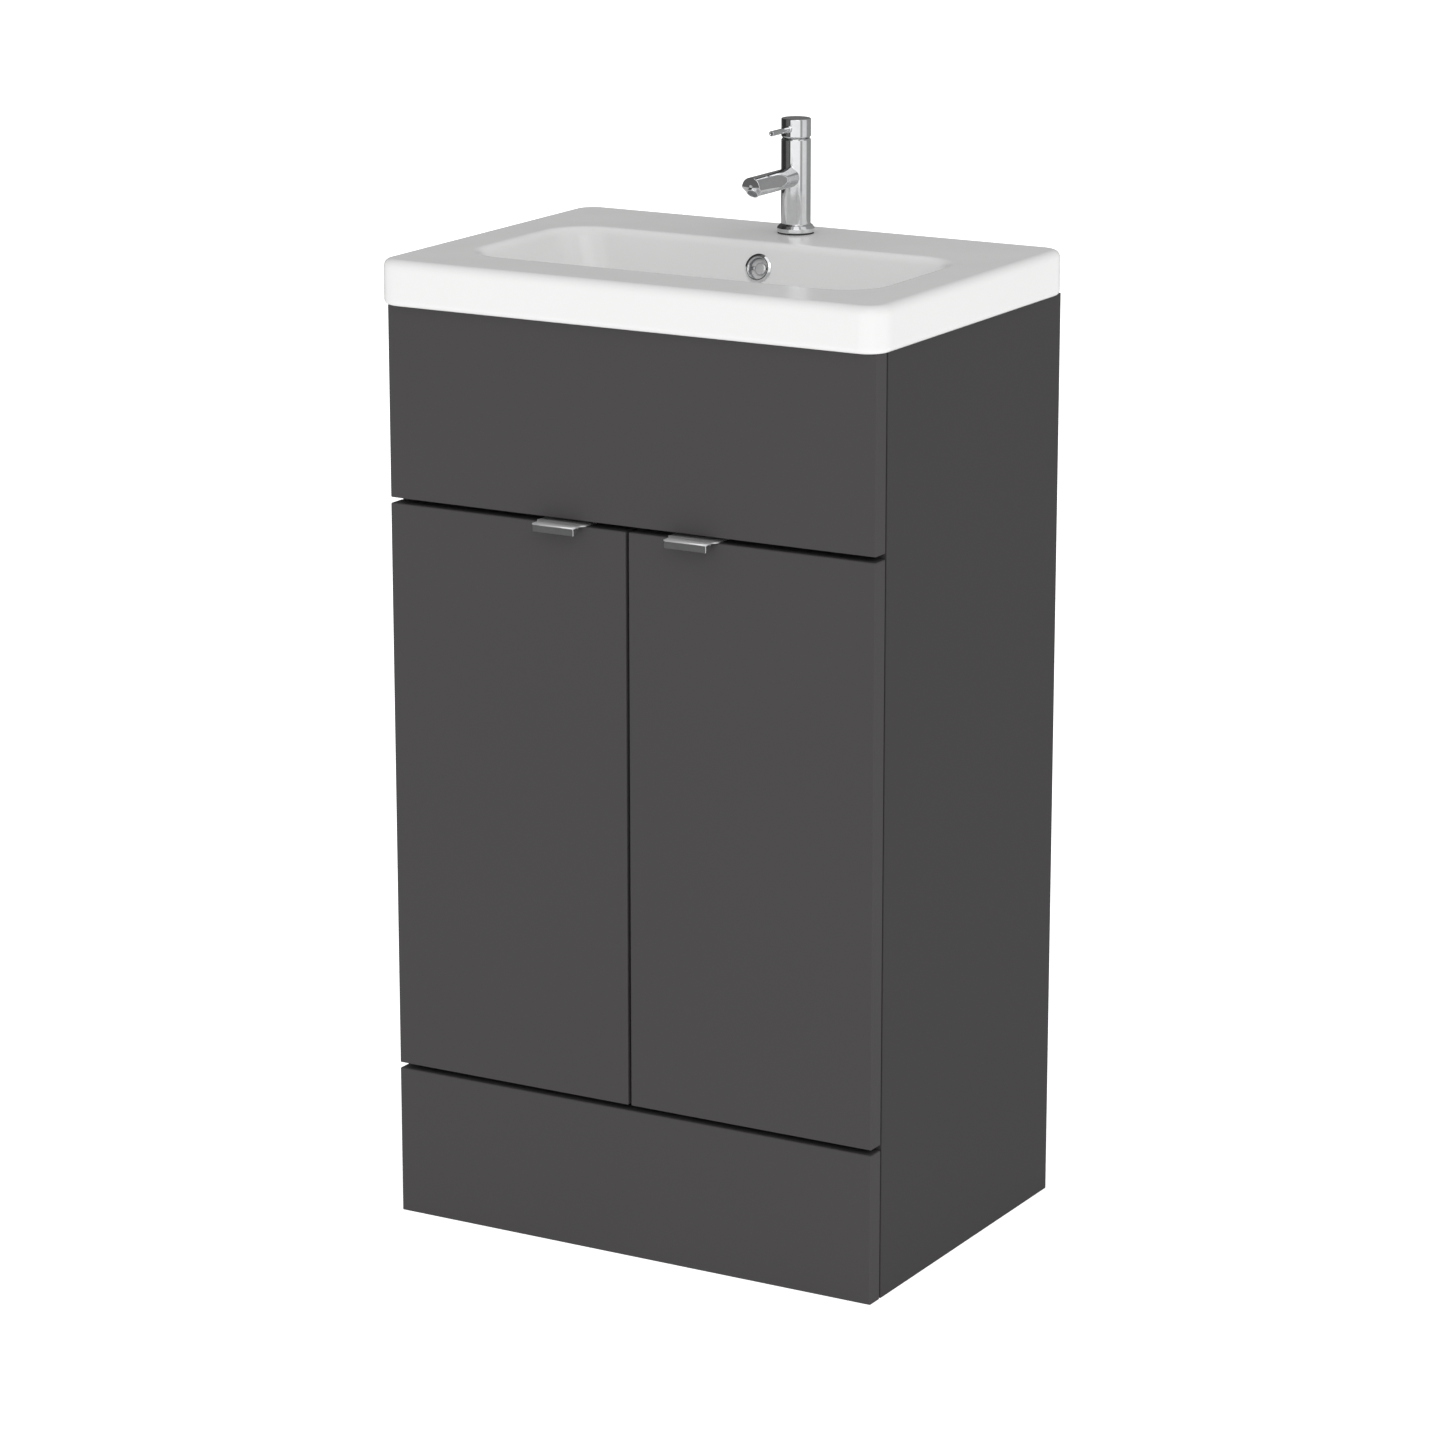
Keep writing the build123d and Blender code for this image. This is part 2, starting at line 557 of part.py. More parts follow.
with BuildPart() as bowl_space:
    with BuildSketch(Plane.XY.offset(BASIN_TOP)):
        with Locations((0, BOWL_Y)):
            RectangleRounded(*MOUTH)
    with BuildSketch(Plane.XY.offset(FLOOR_Z)):
        with Locations((0, BOWL_Y)):
            RectangleRounded(*FLOOR)
    loft()
    fillet(bowl_space.edges().group_by(Axis.Z)[0], HEEL)

with BuildPart() as bowl_shell:
    with BuildSketch(Plane.XY.offset(DECK_UNDER)):
        with Locations((0, BOWL_Y)):
            RectangleRounded(MOUTH[0] + BOWL_WALL, MOUTH[1] + BOWL_WALL, MOUTH[2] + BOWL_WALL / 2)
    with BuildSketch(Plane.XY.offset(FLOOR_Z - BOWL_WALL)):
        with Locations((0, BOWL_Y)):
            RectangleRounded(FLOOR[0] + BOWL_WALL, FLOOR[1] + BOWL_WALL, FLOOR[2] + BOWL_WALL / 2)
    loft()
    fillet(bowl_shell.edges().group_by(Axis.Z)[0], SHELL_HEEL)

# back wall of the bowl, as a line from the floor's edge to the rim's edge in the side view
WALL_TOP_Y = BOWL_Y + MOUTH[1] / 2
WALL_RUN = (MOUTH[1] - FLOOR[1]) / 2
WALL_RISE = BASIN_TOP - FLOOR_Z
OVERFLOW_Y = WALL_TOP_Y - WALL_RUN * (BASIN_TOP - OVERFLOW_Z) / WALL_RISE
WALL_LENGTH = (WALL_RUN**2 + WALL_RISE**2) ** 0.5
INTO_WALL = Vector(0, WALL_RISE, -WALL_RUN) / WALL_LENGTH
OVERFLOW_AT = Vector(0, OVERFLOW_Y, OVERFLOW_Z)
DUCT_Y = (OVERFLOW_Y + 8, OVERFLOW_Y + 20)

with BuildPart() as basin:
    with BuildSketch(Plane.XY.offset(HEIGHT)):
        with Locations((0, BASIN_Y)):
            RectangleRounded(BASIN_WIDTH, BASIN_DEPTH, BASIN_CORNER)
    extrude(amount=BASIN_HEIGHT)
    fillet(basin.edges().group_by(Axis.Z)[-1], DECK_EDGE)
    fillet(basin.edges().group_by(Axis.Z)[0], FOOT_EDGE)
    # the underside is hollow inside the rim
    with BuildSketch(Plane.XY.offset(HEIGHT)):
        with Locations((0, BASIN_Y)):
            RectangleRounded(BASIN_WIDTH - 2 * BASIN_WALL, BASIN_DEPTH - 2 * BASIN_WALL, HOLLOW_CORNER)
    extrude(amount=DECK_UNDER - HEIGHT, mode=Mode.SUBTRACT)
    add(bowl_shell.part)
    # boss under the waste hole, overflow duct behind the bowl and the channel that joins them
    rods([(0, WASTE_Y, BOSS_BOTTOM)], UP, BOSS_RADIUS, FLOOR_Z - BOSS_BOTTOM)
    board((-DUCT_HALF, DUCT_HALF), (BOWL_Y + 40, DUCT_Y[1] + DUCT_WALL), (BOSS_BOTTOM, DECK_UNDER))
    board((-CHANNEL_HALF, CHANNEL_HALF), (WASTE_Y, BOWL_Y + 41), (BOSS_BOTTOM, FLOOR_Z - 4))
    add(bowl_space.part, mode=Mode.SUBTRACT)
    duct_half = DUCT_HALF - DUCT_WALL
    channel = (BOSS_BOTTOM + CHANNEL_BASE, BOSS_BOTTOM + CHANNEL_BASE + CHANNEL_TALL)
    board((-duct_half, duct_half), DUCT_Y, (channel[0], OVERFLOW_Z + OVERFLOW_RADIUS + 1), Mode.SUBTRACT)
    board((-CHANNEL_HALF / 2, CHANNEL_HALF / 2), (WASTE_Y, DUCT_Y[1]), channel, Mode.SUBTRACT)
    rods([OVERFLOW_AT - INTO_WALL * 5], INTO_WALL, OVERFLOW_RADIUS, 22, Mode.SUBTRACT)
    rods([(0, WASTE_Y, BOSS_BOTTOM)], UP, WASTE_HOLE, FLOOR_Z - BOSS_BOTTOM + 5, Mode.SUBTRACT)
    # soft lip round the mouth, before the tap hole opens the deck
    mouth_edges = basin.faces().sort_by(Axis.Z)[-1].inner_wires()[0].edges()
    fillet(mouth_edges, LIP_EDGE)
    rods([(0, TAP_Y, DECK_UNDER - 1)], UP, TAP_HOLE, 20, Mode.SUBTRACT)
save(basin, "basin")

RING_OUT = 13.5
RING_IN = 10
RING_PROUD = 1.8
BAR_THICK = 1.6
with BuildPart() as overflow_ring:
    face = Plane(origin=OVERFLOW_AT - INTO_WALL * RING_PROUD, z_dir=INTO_WALL)
    with BuildSketch(face):
        Circle(RING_OUT)
    extrude(amount=RING_PROUD)
    fillet(overflow_ring.edges().sort_by(Axis.Y)[0], 1.2)
    rods([OVERFLOW_AT], INTO_WALL, OVERFLOW_RADIUS - CLEAR, 7)
    rods([OVERFLOW_AT - INTO_WALL * 2], INTO_WALL, RING_IN, 12, Mode.SUBTRACT)
    # cross bar with a screw disc in the middle, set back in the ring
    with BuildSketch(face.offset(5.5)):
        Circle(5)
        Rectangle(2 * RING_IN + 1, 3)
    extrude(amount=BAR_THICK)
save(overflow_ring, "overflow_ring")

# ---------------------------------------------------------------- waste and click plug
WASTE_TUBE = 20.5
WASTE_BORE = 18
SEAT_Z = FLOOR_Z + 4.5
TUBE_END = 722
with BuildPart() as waste_body:
    profile = [
        (WASTE_BORE, TUBE_END),
        (WASTE_TUBE, TUBE_END),
        (WASTE_TUBE, FLOOR_Z + 1),
        (29, FLOOR_Z + 1),
        (31, FLOOR_Z + 2),
        (31, SEAT_Z - 1.5),
        (30, SEAT_Z),
        (22, SEAT_Z - 1.2),
        (WASTE_BORE, SEAT_Z - 1.8),
    ]
    turned(profile, 0, WASTE_Y)
    # slots that let the overflow in
    board((-30, 30), (WASTE_Y - 6, WASTE_Y + 6), (BOSS_BOTTOM + 5, BOSS_BOTTOM + 15), Mode.SUBTRACT)
    board((-6, 6), (WASTE_Y - 30, WASTE_Y + 30), (BOSS_BOTTOM + 5, BOSS_BOTTOM + 15), Mode.SUBTRACT)
    # spider that carries the plug's stem
    board((-WASTE_BORE - 1, WASTE_BORE + 1), (WASTE_Y - 2.5, WASTE_Y + 2.5), (TUBE_END + 20, TUBE_END + 26))
    rods([(0, WASTE_Y, TUBE_END + 20)], UP, 7, 14)
    rods([(0, WASTE_Y, TUBE_END + 22)], UP, 4.3, 14, Mode.SUBTRACT)
save(waste_body, "waste_body")

with BuildPart() as waste_washer:
    turned([(22.6, FLOOR_Z), (30, FLOOR_Z), (30, FLOOR_Z + 1), (22.6, FLOOR_Z + 1)], 0, WASTE_Y)
save(waste_washer, "waste_washer")

with BuildPart() as waste_gasket:
    turned([(21, 768), (31, 768), (31, BOSS_BOTTOM), (21, BOSS_BOTTOM)], 0, WASTE_Y)
save(waste_gasket, "waste_gasket")

with BuildPart() as waste_nut:
    with BuildSketch(Plane.XY.offset(758)):
        with Locations((0, WASTE_Y)):
            RegularPolygon(30, 6)
            Circle(WASTE_TUBE + CLEAR, mode=Mode.SUBTRACT)
    extrude(amount=10)
save(waste_nut, "waste_nut")

PLUG_TRAVEL = 9
with BuildPart() as waste_plug:
    plug_under = SEAT_Z + 0.3
    turned(
        [
            (0, plug_under),
            (27, plug_under),
            (29.5, plug_under + 1.5),
            (29.5, plug_under + 3.5),
            (27, plug_under + 5.2),
            (0, plug_under + 6.8),
        ],
        0,
        WASTE_Y,
    )
    rods([(0, WASTE_Y, TUBE_END + 22 + 0.5)], UP, 4, plug_under - TUBE_END - 22)
    turned(
        [
            (3, plug_under - 6),
            (16.5, plug_under - 6),
            (17, plug_under - 4),
            (17, plug_under + 1),
            (3, plug_under + 1),
        ],
        0,
        WASTE_Y,
    )
save(waste_plug, "waste_plug")

# ---------------------------------------------------------------- bottle trap and outlet pipe
OUTLET_Z = 616
PIPE_WALL = 2
SEAT_PLAY = 0.3  # between a pipe and the bore it slides in
INLET_END = (560, 721)  # lowest and highest points of the inlet tube


def ribbed_nut(hollow, radius, z):
    """A twelve-sided hand nut about the waste's axis, bored out to a half profile."""
    with BuildSketch(Plane.XY.offset(z[0])) as outline:
        with Locations((0, WASTE_Y)):
            RegularPolygon(radius, 12)
    extrude(outline.sketch, amount=z[1] - z[0])
    turned(hollow, 0, WASTE_Y, Mode.SUBTRACT)


with BuildPart() as trap_inlet:
    collar = INLET_END[1] - 5
    turned(
        [
            (PIPE_RADIUS - PIPE_WALL, INLET_END[0]),
            (PIPE_RADIUS, INLET_END[0]),
            (PIPE_RADIUS, collar),
            (22, collar),
            (22, INLET_END[1]),
            (PIPE_RADIUS - PIPE_WALL, INLET_END[1]),
        ],
        0,
        WASTE_Y,
    )
save(trap_inlet, "trap_inlet")

NECK = (21, 662, 676)  # radius, lowest and highest points
BODY = (30, 592, 648)
SKIRT = (28, 578)
BRANCH = (20, 54)  # radius, reach from the trap's axis

with BuildPart() as trap_body:
    turned(
        [
            (0, SKIRT[1]),
            (SKIRT[0], SKIRT[1]),
            (SKIRT[0], BODY[1]),
            (BODY[0], BODY[1]),
            (BODY[0], BODY[2]),
            (NECK[0], NECK[1]),
            (NECK[0], NECK[2]),
            (0, NECK[2]),
        ],
        0,
        WASTE_Y,
    )
    rods([(0, WASTE_Y, OUTLET_Z)], WALLWARD, *BRANCH)
    hollow = [(0, SKIRT[1]), (26, SKIRT[1]), (26, 644), (PIPE_RADIUS, 656), (0, 656)]
    turned(hollow, 0, WASTE_Y, Mode.SUBTRACT)
    rods([(0, WASTE_Y, 640)], UP, PIPE_RADIUS + SEAT_PLAY, 40, Mode.SUBTRACT)
    rods([(0, WASTE_Y, OUTLET_Z)], WALLWARD, PIPE_RADIUS + SEAT_PLAY, BRANCH[1], Mode.SUBTRACT)
save(trap_body, "trap_body")

with BuildPart() as trap_cup:
    turned(
        [
            (0, 540),
            (14, 540),
            (28, 546),
            (33, 556),
            (33, 591),
            (SKIRT[0] + CLEAR, 591),
            (SKIRT[0] + CLEAR, 577),
            (26, 577),
            (26, 558),
            (18, 549),
            (0, 546),
        ],
        0,
        WASTE_Y,
    )
save(trap_cup, "trap_cup")

with BuildPart() as trap_nuts:
    # under the waste, holding the inlet tube's collar
    shoulder = INLET_END[1] - 5.5
    ribbed_nut(
        [
            (0, 706),
            (PIPE_RADIUS + SEAT_PLAY, 706),
            (PIPE_RADIUS + SEAT_PLAY, shoulder),
            (22.2, shoulder),
            (22.2, TUBE_END),
            (WASTE_TUBE + CLEAR, TUBE_END),
            (WASTE_TUBE + CLEAR, 738),
            (0, 738),
        ],
        27,
        (706, 738),
    )
    # on the trap's neck
    ribbed_nut(
        [
            (0, 664),
            (NECK[0] + CLEAR, 664),
            (NECK[0] + CLEAR, 677),
            (PIPE_RADIUS + SEAT_PLAY, 677),
            (PIPE_RADIUS + SEAT_PLAY, 685),
            (0, 685),
        ],
        27,
        (664, 685),
    )
    # on the branch, round the outlet pipe
    nut_y = (WASTE_Y + 40, WASTE_Y + 62)
    with BuildSketch(Plane(origin=(0, nut_y[0], OUTLET_Z), z_dir=WALLWARD)):
        RegularPolygon(26, 12)
    extrude(amount=nut_y[1] - nut_y[0])
    branch_length = WASTE_Y + BRANCH[1] + 0.5 - nut_y[0]
    rods([(0, nut_y[0], OUTLET_Z)], WALLWARD, BRANCH[0] + CLEAR, branch_length, Mode.SUBTRACT)
    rods([(0, nut_y[0], OUTLET_Z)], WALLWARD, PIPE_RADIUS + SEAT_PLAY, nut_y[1] - nut_y[0], Mode.SUBTRACT)
save(trap_nuts, "trap_nuts")

SPIGOT = 0.2  # how much slimmer the pipe's end is inside the trap's nut
with BuildPart() as outlet_pipe:
    pipe_start = WASTE_Y + 34
    free_start = nut_y[1] + 3
    rods([(0, pipe_start, OUTLET_Z)], WALLWARD, PIPE_RADIUS - SPIGOT, free_start - pipe_start)
    rods([(0, free_start, OUTLET_Z)], WALLWARD, PIPE_RADIUS, BACK - free_start)
    rods([(0, pipe_start, OUTLET_Z)], WALLWARD, PIPE_RADIUS - PIPE_WALL, BACK - pipe_start, Mode.SUBTRACT)
save(outlet_pipe, "outlet_pipe")

# ---------------------------------------------------------------- tap
TAP_SEAL = 1.5
TAP_FOOT = BASIN_TOP + TAP_SEAL
SPOUT_Z = 959
SPOUT_RADIUS = 9.25
BODY_TOP = 994.3
CAP_UNDER = 994.9
CAP_TOP = 1012.5
BEVEL = (1.1, 1.4)  # the groove between body and cap: depth, height of each half
CARTRIDGE_BORE = 11.4
CARTRIDGE_Z = (970, 986)
CAP_BORE = 10.8
LEVER_Z = 1003.5
LEVER_RADIUS = 2.5
LEVER_REACH = 47
INLETS = [(x, TAP_Y - 4, TAP_FOOT) for x in (-6.5, 6.5)]
STUD_AT = (0, TAP_Y + 8)
STUD_RADIUS = 4
STUD_DEPTH = 11  # how far the stud goes up into the body
STUD_END = 862
OUTFLOW = Vector(0, -1, -1) / 2**0.5
MOUTH_AT = Vector(0, TAP_Y - TAP_REACH + SPOUT_RADIUS / 2, SPOUT_Z - SPOUT_RADIUS / 2)

with BuildPart() as tap_body:
    turned(
        [
            (0, TAP_FOOT),
            (17, TAP_FOOT),
            (17.5, TAP_FOOT + 0.5),
            (17.5, TAP_FOOT + 4.2),
            (16, TAP_FOOT + 6.2),
            (14.6, TAP_FOOT + 6.8),
            (TAP_RADIUS, TAP_FOOT + 6.8),
            (TAP_RADIUS, BODY_TOP - BEVEL[1]),
            (TAP_RADIUS - BEVEL[0], BODY_TOP),
            (0, BODY_TOP),
        ],
        0,
        TAP_Y,
    )
    rods([(0, TAP_Y, SPOUT_Z)], FRONTWARD, SPOUT_RADIUS, TAP_REACH)
    # the spout's end: upright above its middle, cut back at 45 degrees below
    tip = TAP_Y - TAP_REACH
    with BuildSketch(Plane.YZ.offset(-SPOUT_RADIUS - 1)):
        with BuildLine():
            Polyline(
                (tip - 1, SPOUT_Z),
                (tip, SPOUT_Z),
                (tip + 12, SPOUT_Z - 12),
                (tip - 1, SPOUT_Z - 12),
                close=True,
            )
        make_face()
    extrude(amount=2 * SPOUT_RADIUS + 2, mode=Mode.SUBTRACT)
    # waterways
    rods([(0, TAP_Y, CARTRIDGE_Z[0])], UP, CARTRIDGE_BORE, BODY_TOP - CARTRIDGE_Z[0], Mode.SUBTRACT)
    rods([(0, TAP_Y, SPOUT_Z)], UP, 5, CARTRIDGE_Z[0] - SPOUT_Z, Mode.SUBTRACT)
    rods([(0, TAP_Y, SPOUT_Z)], FRONTWARD, 5.4, TAP_REACH - 9, Mode.SUBTRACT)
    rods([MOUTH_AT], -OUTFLOW, 5.4, 8, Mode.SUBTRACT)
    rods(INLETS, UP, 4.5, 12, Mode.SUBTRACT)
    rods(INLETS, UP, 2.2, CARTRIDGE_Z[0] - TAP_FOOT, Mode.SUBTRACT)
    rods([(*STUD_AT, TAP_FOOT)], UP, STUD_RADIUS + FIT, STUD_DEPTH + FIT, Mode.SUBTRACT)
save(tap_body, "tap_body")

with BuildPart() as aerator:
    rods([MOUTH_AT], OUTFLOW, 5.9, 1.6)
    rods([MOUTH_AT], -OUTFLOW, 5.3, 6)
    chamfer(aerator.edges().filter_by(GeomType.CIRCLE).sort_by(Axis(MOUTH_AT, OUTFLOW))[-1], 0.4)
    rods([MOUTH_AT + OUTFLOW * 2], -OUTFLOW, 4.4, 9, Mode.SUBTRACT)
    with BuildSketch(Plane(origin=MOUTH_AT, z_dir=OUTFLOW)):
        Circle(4.6)
        with GridLocations(1.5, 1.5, 4, 4):
            Circle(0.5, mode=Mode.SUBTRACT)
    extrude(amount=0.8)
save(aerator, "aerator")

with BuildPart() as cartridge_body:
    rods([(0, TAP_Y, CARTRIDGE_Z[0])], UP, CARTRIDGE_BORE - CLEAR, CARTRIDGE_Z[1] - CARTRIDGE_Z[0])
    rods([(0, TAP_Y, CARTRIDGE_Z[0] + 5)], UP, 5 + CLEAR / 2, 20, Mode.SUBTRACT)
    for x in (-6.5, 6.5):
        rods([(x, TAP_Y - 4, CARTRIDGE_Z[0])], UP, 1.8, 4, Mode.SUBTRACT)
save(cartridge_body, "cartridge_body")

with BuildPart() as cartridge_nut:
    rods([(0, TAP_Y, CARTRIDGE_Z[1])], UP, CARTRIDGE_BORE - CLEAR, 4)
    rods([(0, TAP_Y, CARTRIDGE_Z[1])], UP, 9 + CLEAR, 4, Mode.SUBTRACT)
save(cartridge_nut, "cartridge_nut")

STEM = 5
with BuildPart() as cartridge_turret:
    rods([(0, TAP_Y, CARTRIDGE_Z[0] + 6)], UP, 5, 11)
    rods([(0, TAP_Y, CARTRIDGE_Z[1] + 0.3)], UP, 9, 7)
    slot_y = (TAP_Y - STEM / 2 - 3, TAP_Y + STEM / 2 + 1)
    board((-STEM / 2 - 0.3, STEM / 2 + 0.3), slot_y, (CARTRIDGE_Z[1] + 1.5, BODY_TOP), Mode.SUBTRACT)
save(cartridge_turret, "cartridge_turret")

with BuildPart() as cartridge_stem:
    board((-STEM / 2, STEM / 2), (TAP_Y - STEM / 2, TAP_Y + STEM / 2), (CARTRIDGE_Z[1] + 2.5, 1006.5))
save(cartridge_stem, "cartridge_stem")

with BuildPart() as tap_cap:
    turned(
        [
            (0, 1006.5),
            (CAP_BORE, 1006.5),
            (CAP_BORE, CAP_UNDER),
            (TAP_RADIUS - BEVEL[0], CAP_UNDER),
            (TAP_RADIUS, CAP_UNDER + BEVEL[1]),
            (TAP_RADIUS, CAP_TOP - 0.8),
            (TAP_RADIUS - 0.8, CAP_TOP),
            (0, CAP_TOP),
        ],
        0,
        TAP_Y,
    )
    rods([(0, TAP_Y - CAP_BORE + 2, LEVER_Z)], FRONTWARD, LEVER_RADIUS + FIT, 6, Mode.SUBTRACT)
save(tap_cap, "tap_cap")

with BuildPart() as tap_lever:
    rods([(0, TAP_Y - CAP_BORE - 0.4, LEVER_Z)], FRONTWARD, LEVER_RADIUS, LEVER_REACH - CAP_BORE - 0.4)
    tip_edge = tap_lever.edges().filter_by(GeomType.CIRCLE).sort_by(Axis.Y)[0]
    chamfer(tip_edge, 0.4)
    rods([(0, TAP_Y - LEVER_REACH, LEVER_Z)], WALLWARD, 1.5, 1, Mode.SUBTRACT)
save(tap_lever, "tap_lever")

with BuildPart() as tap_seal:
    profile = [(14.8, BASIN_TOP), (16.8, BASIN_TOP), (16.8, TAP_FOOT), (14.8, TAP_FOOT)]
    turned(profile, 0, TAP_Y)
save(tap_seal, "tap_seal")

# the tap is held from below by a stud, a horseshoe washer on a rubber pad, and a nut
with BuildPart() as tap_stud:
    rods([(*STUD_AT, STUD_END)], UP, STUD_RADIUS, TAP_FOOT + STUD_DEPTH - STUD_END)
    chamfer(tap_stud.edges().filter_by(GeomType.CIRCLE), 0.6)
save(tap_stud, "tap_stud")

PAD = 2
WASHER = 2.5
for thickness, top, name in ((PAD, DECK_UNDER, "tap_pad"), (WASHER, DECK_UNDER - PAD, "tap_washer")):
    with BuildPart() as horseshoe:
        with BuildSketch(Plane.XY.offset(top - thickness)):
            with Locations((0, TAP_Y)):
                Circle(22)
            with Locations((0, TAP_Y - 13)):
                Rectangle(30, 30, mode=Mode.SUBTRACT)
            with Locations(STUD_AT):
                Circle(STUD_RADIUS + 2 * CLEAR, mode=Mode.SUBTRACT)
        extrude(amount=thickness)
    save(horseshoe, name)

with BuildPart() as tap_nut:
    nut_top = DECK_UNDER - PAD - WASHER
    with BuildSketch(Plane.XY.offset(nut_top - 6.5)):
        with Locations(STUD_AT):
            RegularPolygon(6.5, 6, major_radius=False)
            Circle(STUD_RADIUS + CLEAR, mode=Mode.SUBTRACT)
    extrude(amount=6.5)
save(tap_nut, "tap_nut")
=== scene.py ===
# %% [markdown]
# # A bathroom vanity, dressed for the camera
#
# The cabinet, its doors, the basin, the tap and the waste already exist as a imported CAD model. This lesson
# gives every part of it a finish, and makes new surfaces where the eye lingers: the glazed basin, the chrome
# tap, the overflow trim, the plug and the two door pulls. Positions below are in metres, with +Z up, the
# front towards -Y and the wall towards +Y. Sizes of small fittings are written in millimetres times MM.

# %% Load the frame
import bpy
import json
import numpy as np
from math import cos, pi, radians, sin
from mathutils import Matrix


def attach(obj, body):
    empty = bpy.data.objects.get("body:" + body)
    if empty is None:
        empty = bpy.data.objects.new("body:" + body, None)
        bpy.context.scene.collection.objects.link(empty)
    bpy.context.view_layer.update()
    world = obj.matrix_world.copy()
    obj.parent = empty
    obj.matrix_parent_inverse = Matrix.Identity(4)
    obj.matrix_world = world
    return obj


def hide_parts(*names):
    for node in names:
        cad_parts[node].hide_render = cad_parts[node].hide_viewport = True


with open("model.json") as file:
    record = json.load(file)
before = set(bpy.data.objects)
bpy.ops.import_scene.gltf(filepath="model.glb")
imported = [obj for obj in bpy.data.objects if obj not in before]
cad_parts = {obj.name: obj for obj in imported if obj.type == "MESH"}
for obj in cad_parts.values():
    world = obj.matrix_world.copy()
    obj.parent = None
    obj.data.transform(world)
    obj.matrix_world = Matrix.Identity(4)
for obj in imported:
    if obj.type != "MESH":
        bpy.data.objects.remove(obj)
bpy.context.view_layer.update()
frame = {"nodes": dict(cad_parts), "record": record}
MM = 0.001

# %% [markdown]
# ## The camera
#
# Furniture looks best from far away through a long lens, so that upright edges stay nearly parallel. The
# camera stands about 4.7 m off, to the right of the front and a little above the basin.

# %% Camera
EYE = (2.2589, -3.9434, 1.6597)
LENS = 126.6
LOOK_DOWN = 14.687
LOOK_LEFT = 29.802
SENSOR = 36.0
SIGHT = 80.0
camera = bpy.data.objects.new("studio_camera", bpy.data.cameras.new("studio_camera"))
camera.data.lens = LENS
camera.data.sensor_width = SENSOR
camera.data.clip_end = SIGHT
camera.location = EYE
camera.rotation_euler = (radians(90 - LOOK_DOWN), 0.0, radians(LOOK_LEFT))
bpy.context.scene.collection.objects.link(camera)
bpy.context.scene.camera = camera
print("camera at", EYE, "lens", LENS)

# %% [markdown]
# ## The studio
#
# A white room lit from all sides would make chrome look like paper. So the room is white only where the
# camera looks straight at it, and a plain soft grey where light is gathered. Mirrors see a third room, with
# tall dark and bright bands round the horizon, like the black and white cards of a studio. Each band is
# placed by its heading in degrees, seen from above: -90 is the front, 0 the right and 90 the wall.

# %% Room
WORLD_FILL = 0.8
CARDS = ((-180, 0.03), (-150, 0.04), (-140, 0.14), (-116, 0.15), (-108, 0.03), (-103, 1.15), (-32, 1.1),
         (-26, 0.42), (-14, 0.45), (-9, 0.85), (24, 0.8), (32, 0.36), (92, 0.3), (112, 0.2), (140, 0.06))
world = bpy.data.worlds.new("studio_room")
bpy.context.scene.world = world
world.use_nodes = True
tree = world.node_tree
tree.nodes.clear()
way = tree.nodes.new("ShaderNodeTexCoord")
heading = tree.nodes.new("ShaderNodeTexGradient")
heading.gradient_type = "RADIAL"
tree.links.new(way.outputs["Generated"], heading.inputs["Vector"])
cards = tree.nodes.new("ShaderNodeValToRGB")
tree.links.new(heading.outputs["Fac"], cards.inputs["Fac"])
stops = cards.color_ramp.elements
while len(stops) < len(CARDS):
    stops.new(0.5)
for stop, (degrees_round, brightness) in zip(stops, CARDS):
    stop.position = (degrees_round + 180) / 360
    stop.color = (brightness, brightness, brightness, 1)
rays = tree.nodes.new("ShaderNodeLightPath")
gathered = tree.nodes.new("ShaderNodeBackground")
gathered.inputs["Color"].default_value = (WORLD_FILL, WORLD_FILL, WORLD_FILL, 1)
mirrored = tree.nodes.new("ShaderNodeBackground")
tree.links.new(cards.outputs["Color"], mirrored.inputs["Color"])
seen = tree.nodes.new("ShaderNodeBackground")
seen.inputs["Color"].default_value = (1.0, 1.0, 1.0, 1.0)


def choose(when, otherwise, then):
    """One of two shaders, picked by a yes-or-no output."""
    node = tree.nodes.new("ShaderNodeMixShader")
    tree.links.new(when, node.inputs["Fac"])
    tree.links.new(otherwise.outputs[0], node.inputs[1])
    tree.links.new(then.outputs[0], node.inputs[2])
    return node


unseen = choose(rays.outputs["Is Glossy Ray"], gathered, mirrored)
room = tree.nodes.new("ShaderNodeOutputWorld")
tree.links.new(choose(rays.outputs["Is Camera Ray"], unseen, seen).outputs[0], room.inputs["Surface"])
bpy.context.scene.view_settings.view_transform = "Standard"
print("room fill", WORLD_FILL, "cards", len(stops))

# %% [markdown]
# One soft key from the front and the right keeps the faces apart. Most of the light comes from the room
# itself, so the key is weak, and as wide as a large softbox.


# %% Key light
def soft_sun(name, azimuth, elevation, strength, spread_angle):
    """A distant soft light. Azimuth 0 shines from the front and 90 from the right; angles in degrees."""
    lamp = bpy.data.lights.new(name, "SUN")
    lamp.energy = strength
    lamp.angle = radians(spread_angle)
    holder = bpy.data.objects.new(name, lamp)
    holder.rotation_euler = (radians(90 - elevation), 0.0, radians(azimuth))
    bpy.context.scene.collection.objects.link(holder)
    print("lamp", name, azimuth, elevation, strength)


KEY = {"azimuth": 42, "elevation": 36, "strength": 0.3, "spread_angle": 30}
soft_sun("key", **KEY)

# %% [markdown]
# The floor is a wide sheet of white paper. It glows a little, as a sweep lit from below does, so that it
# stays white while the cabinet still leaves a faint shadow on it. Mirrors look straight through it, so that
# the bands of the room carry on below the horizon.

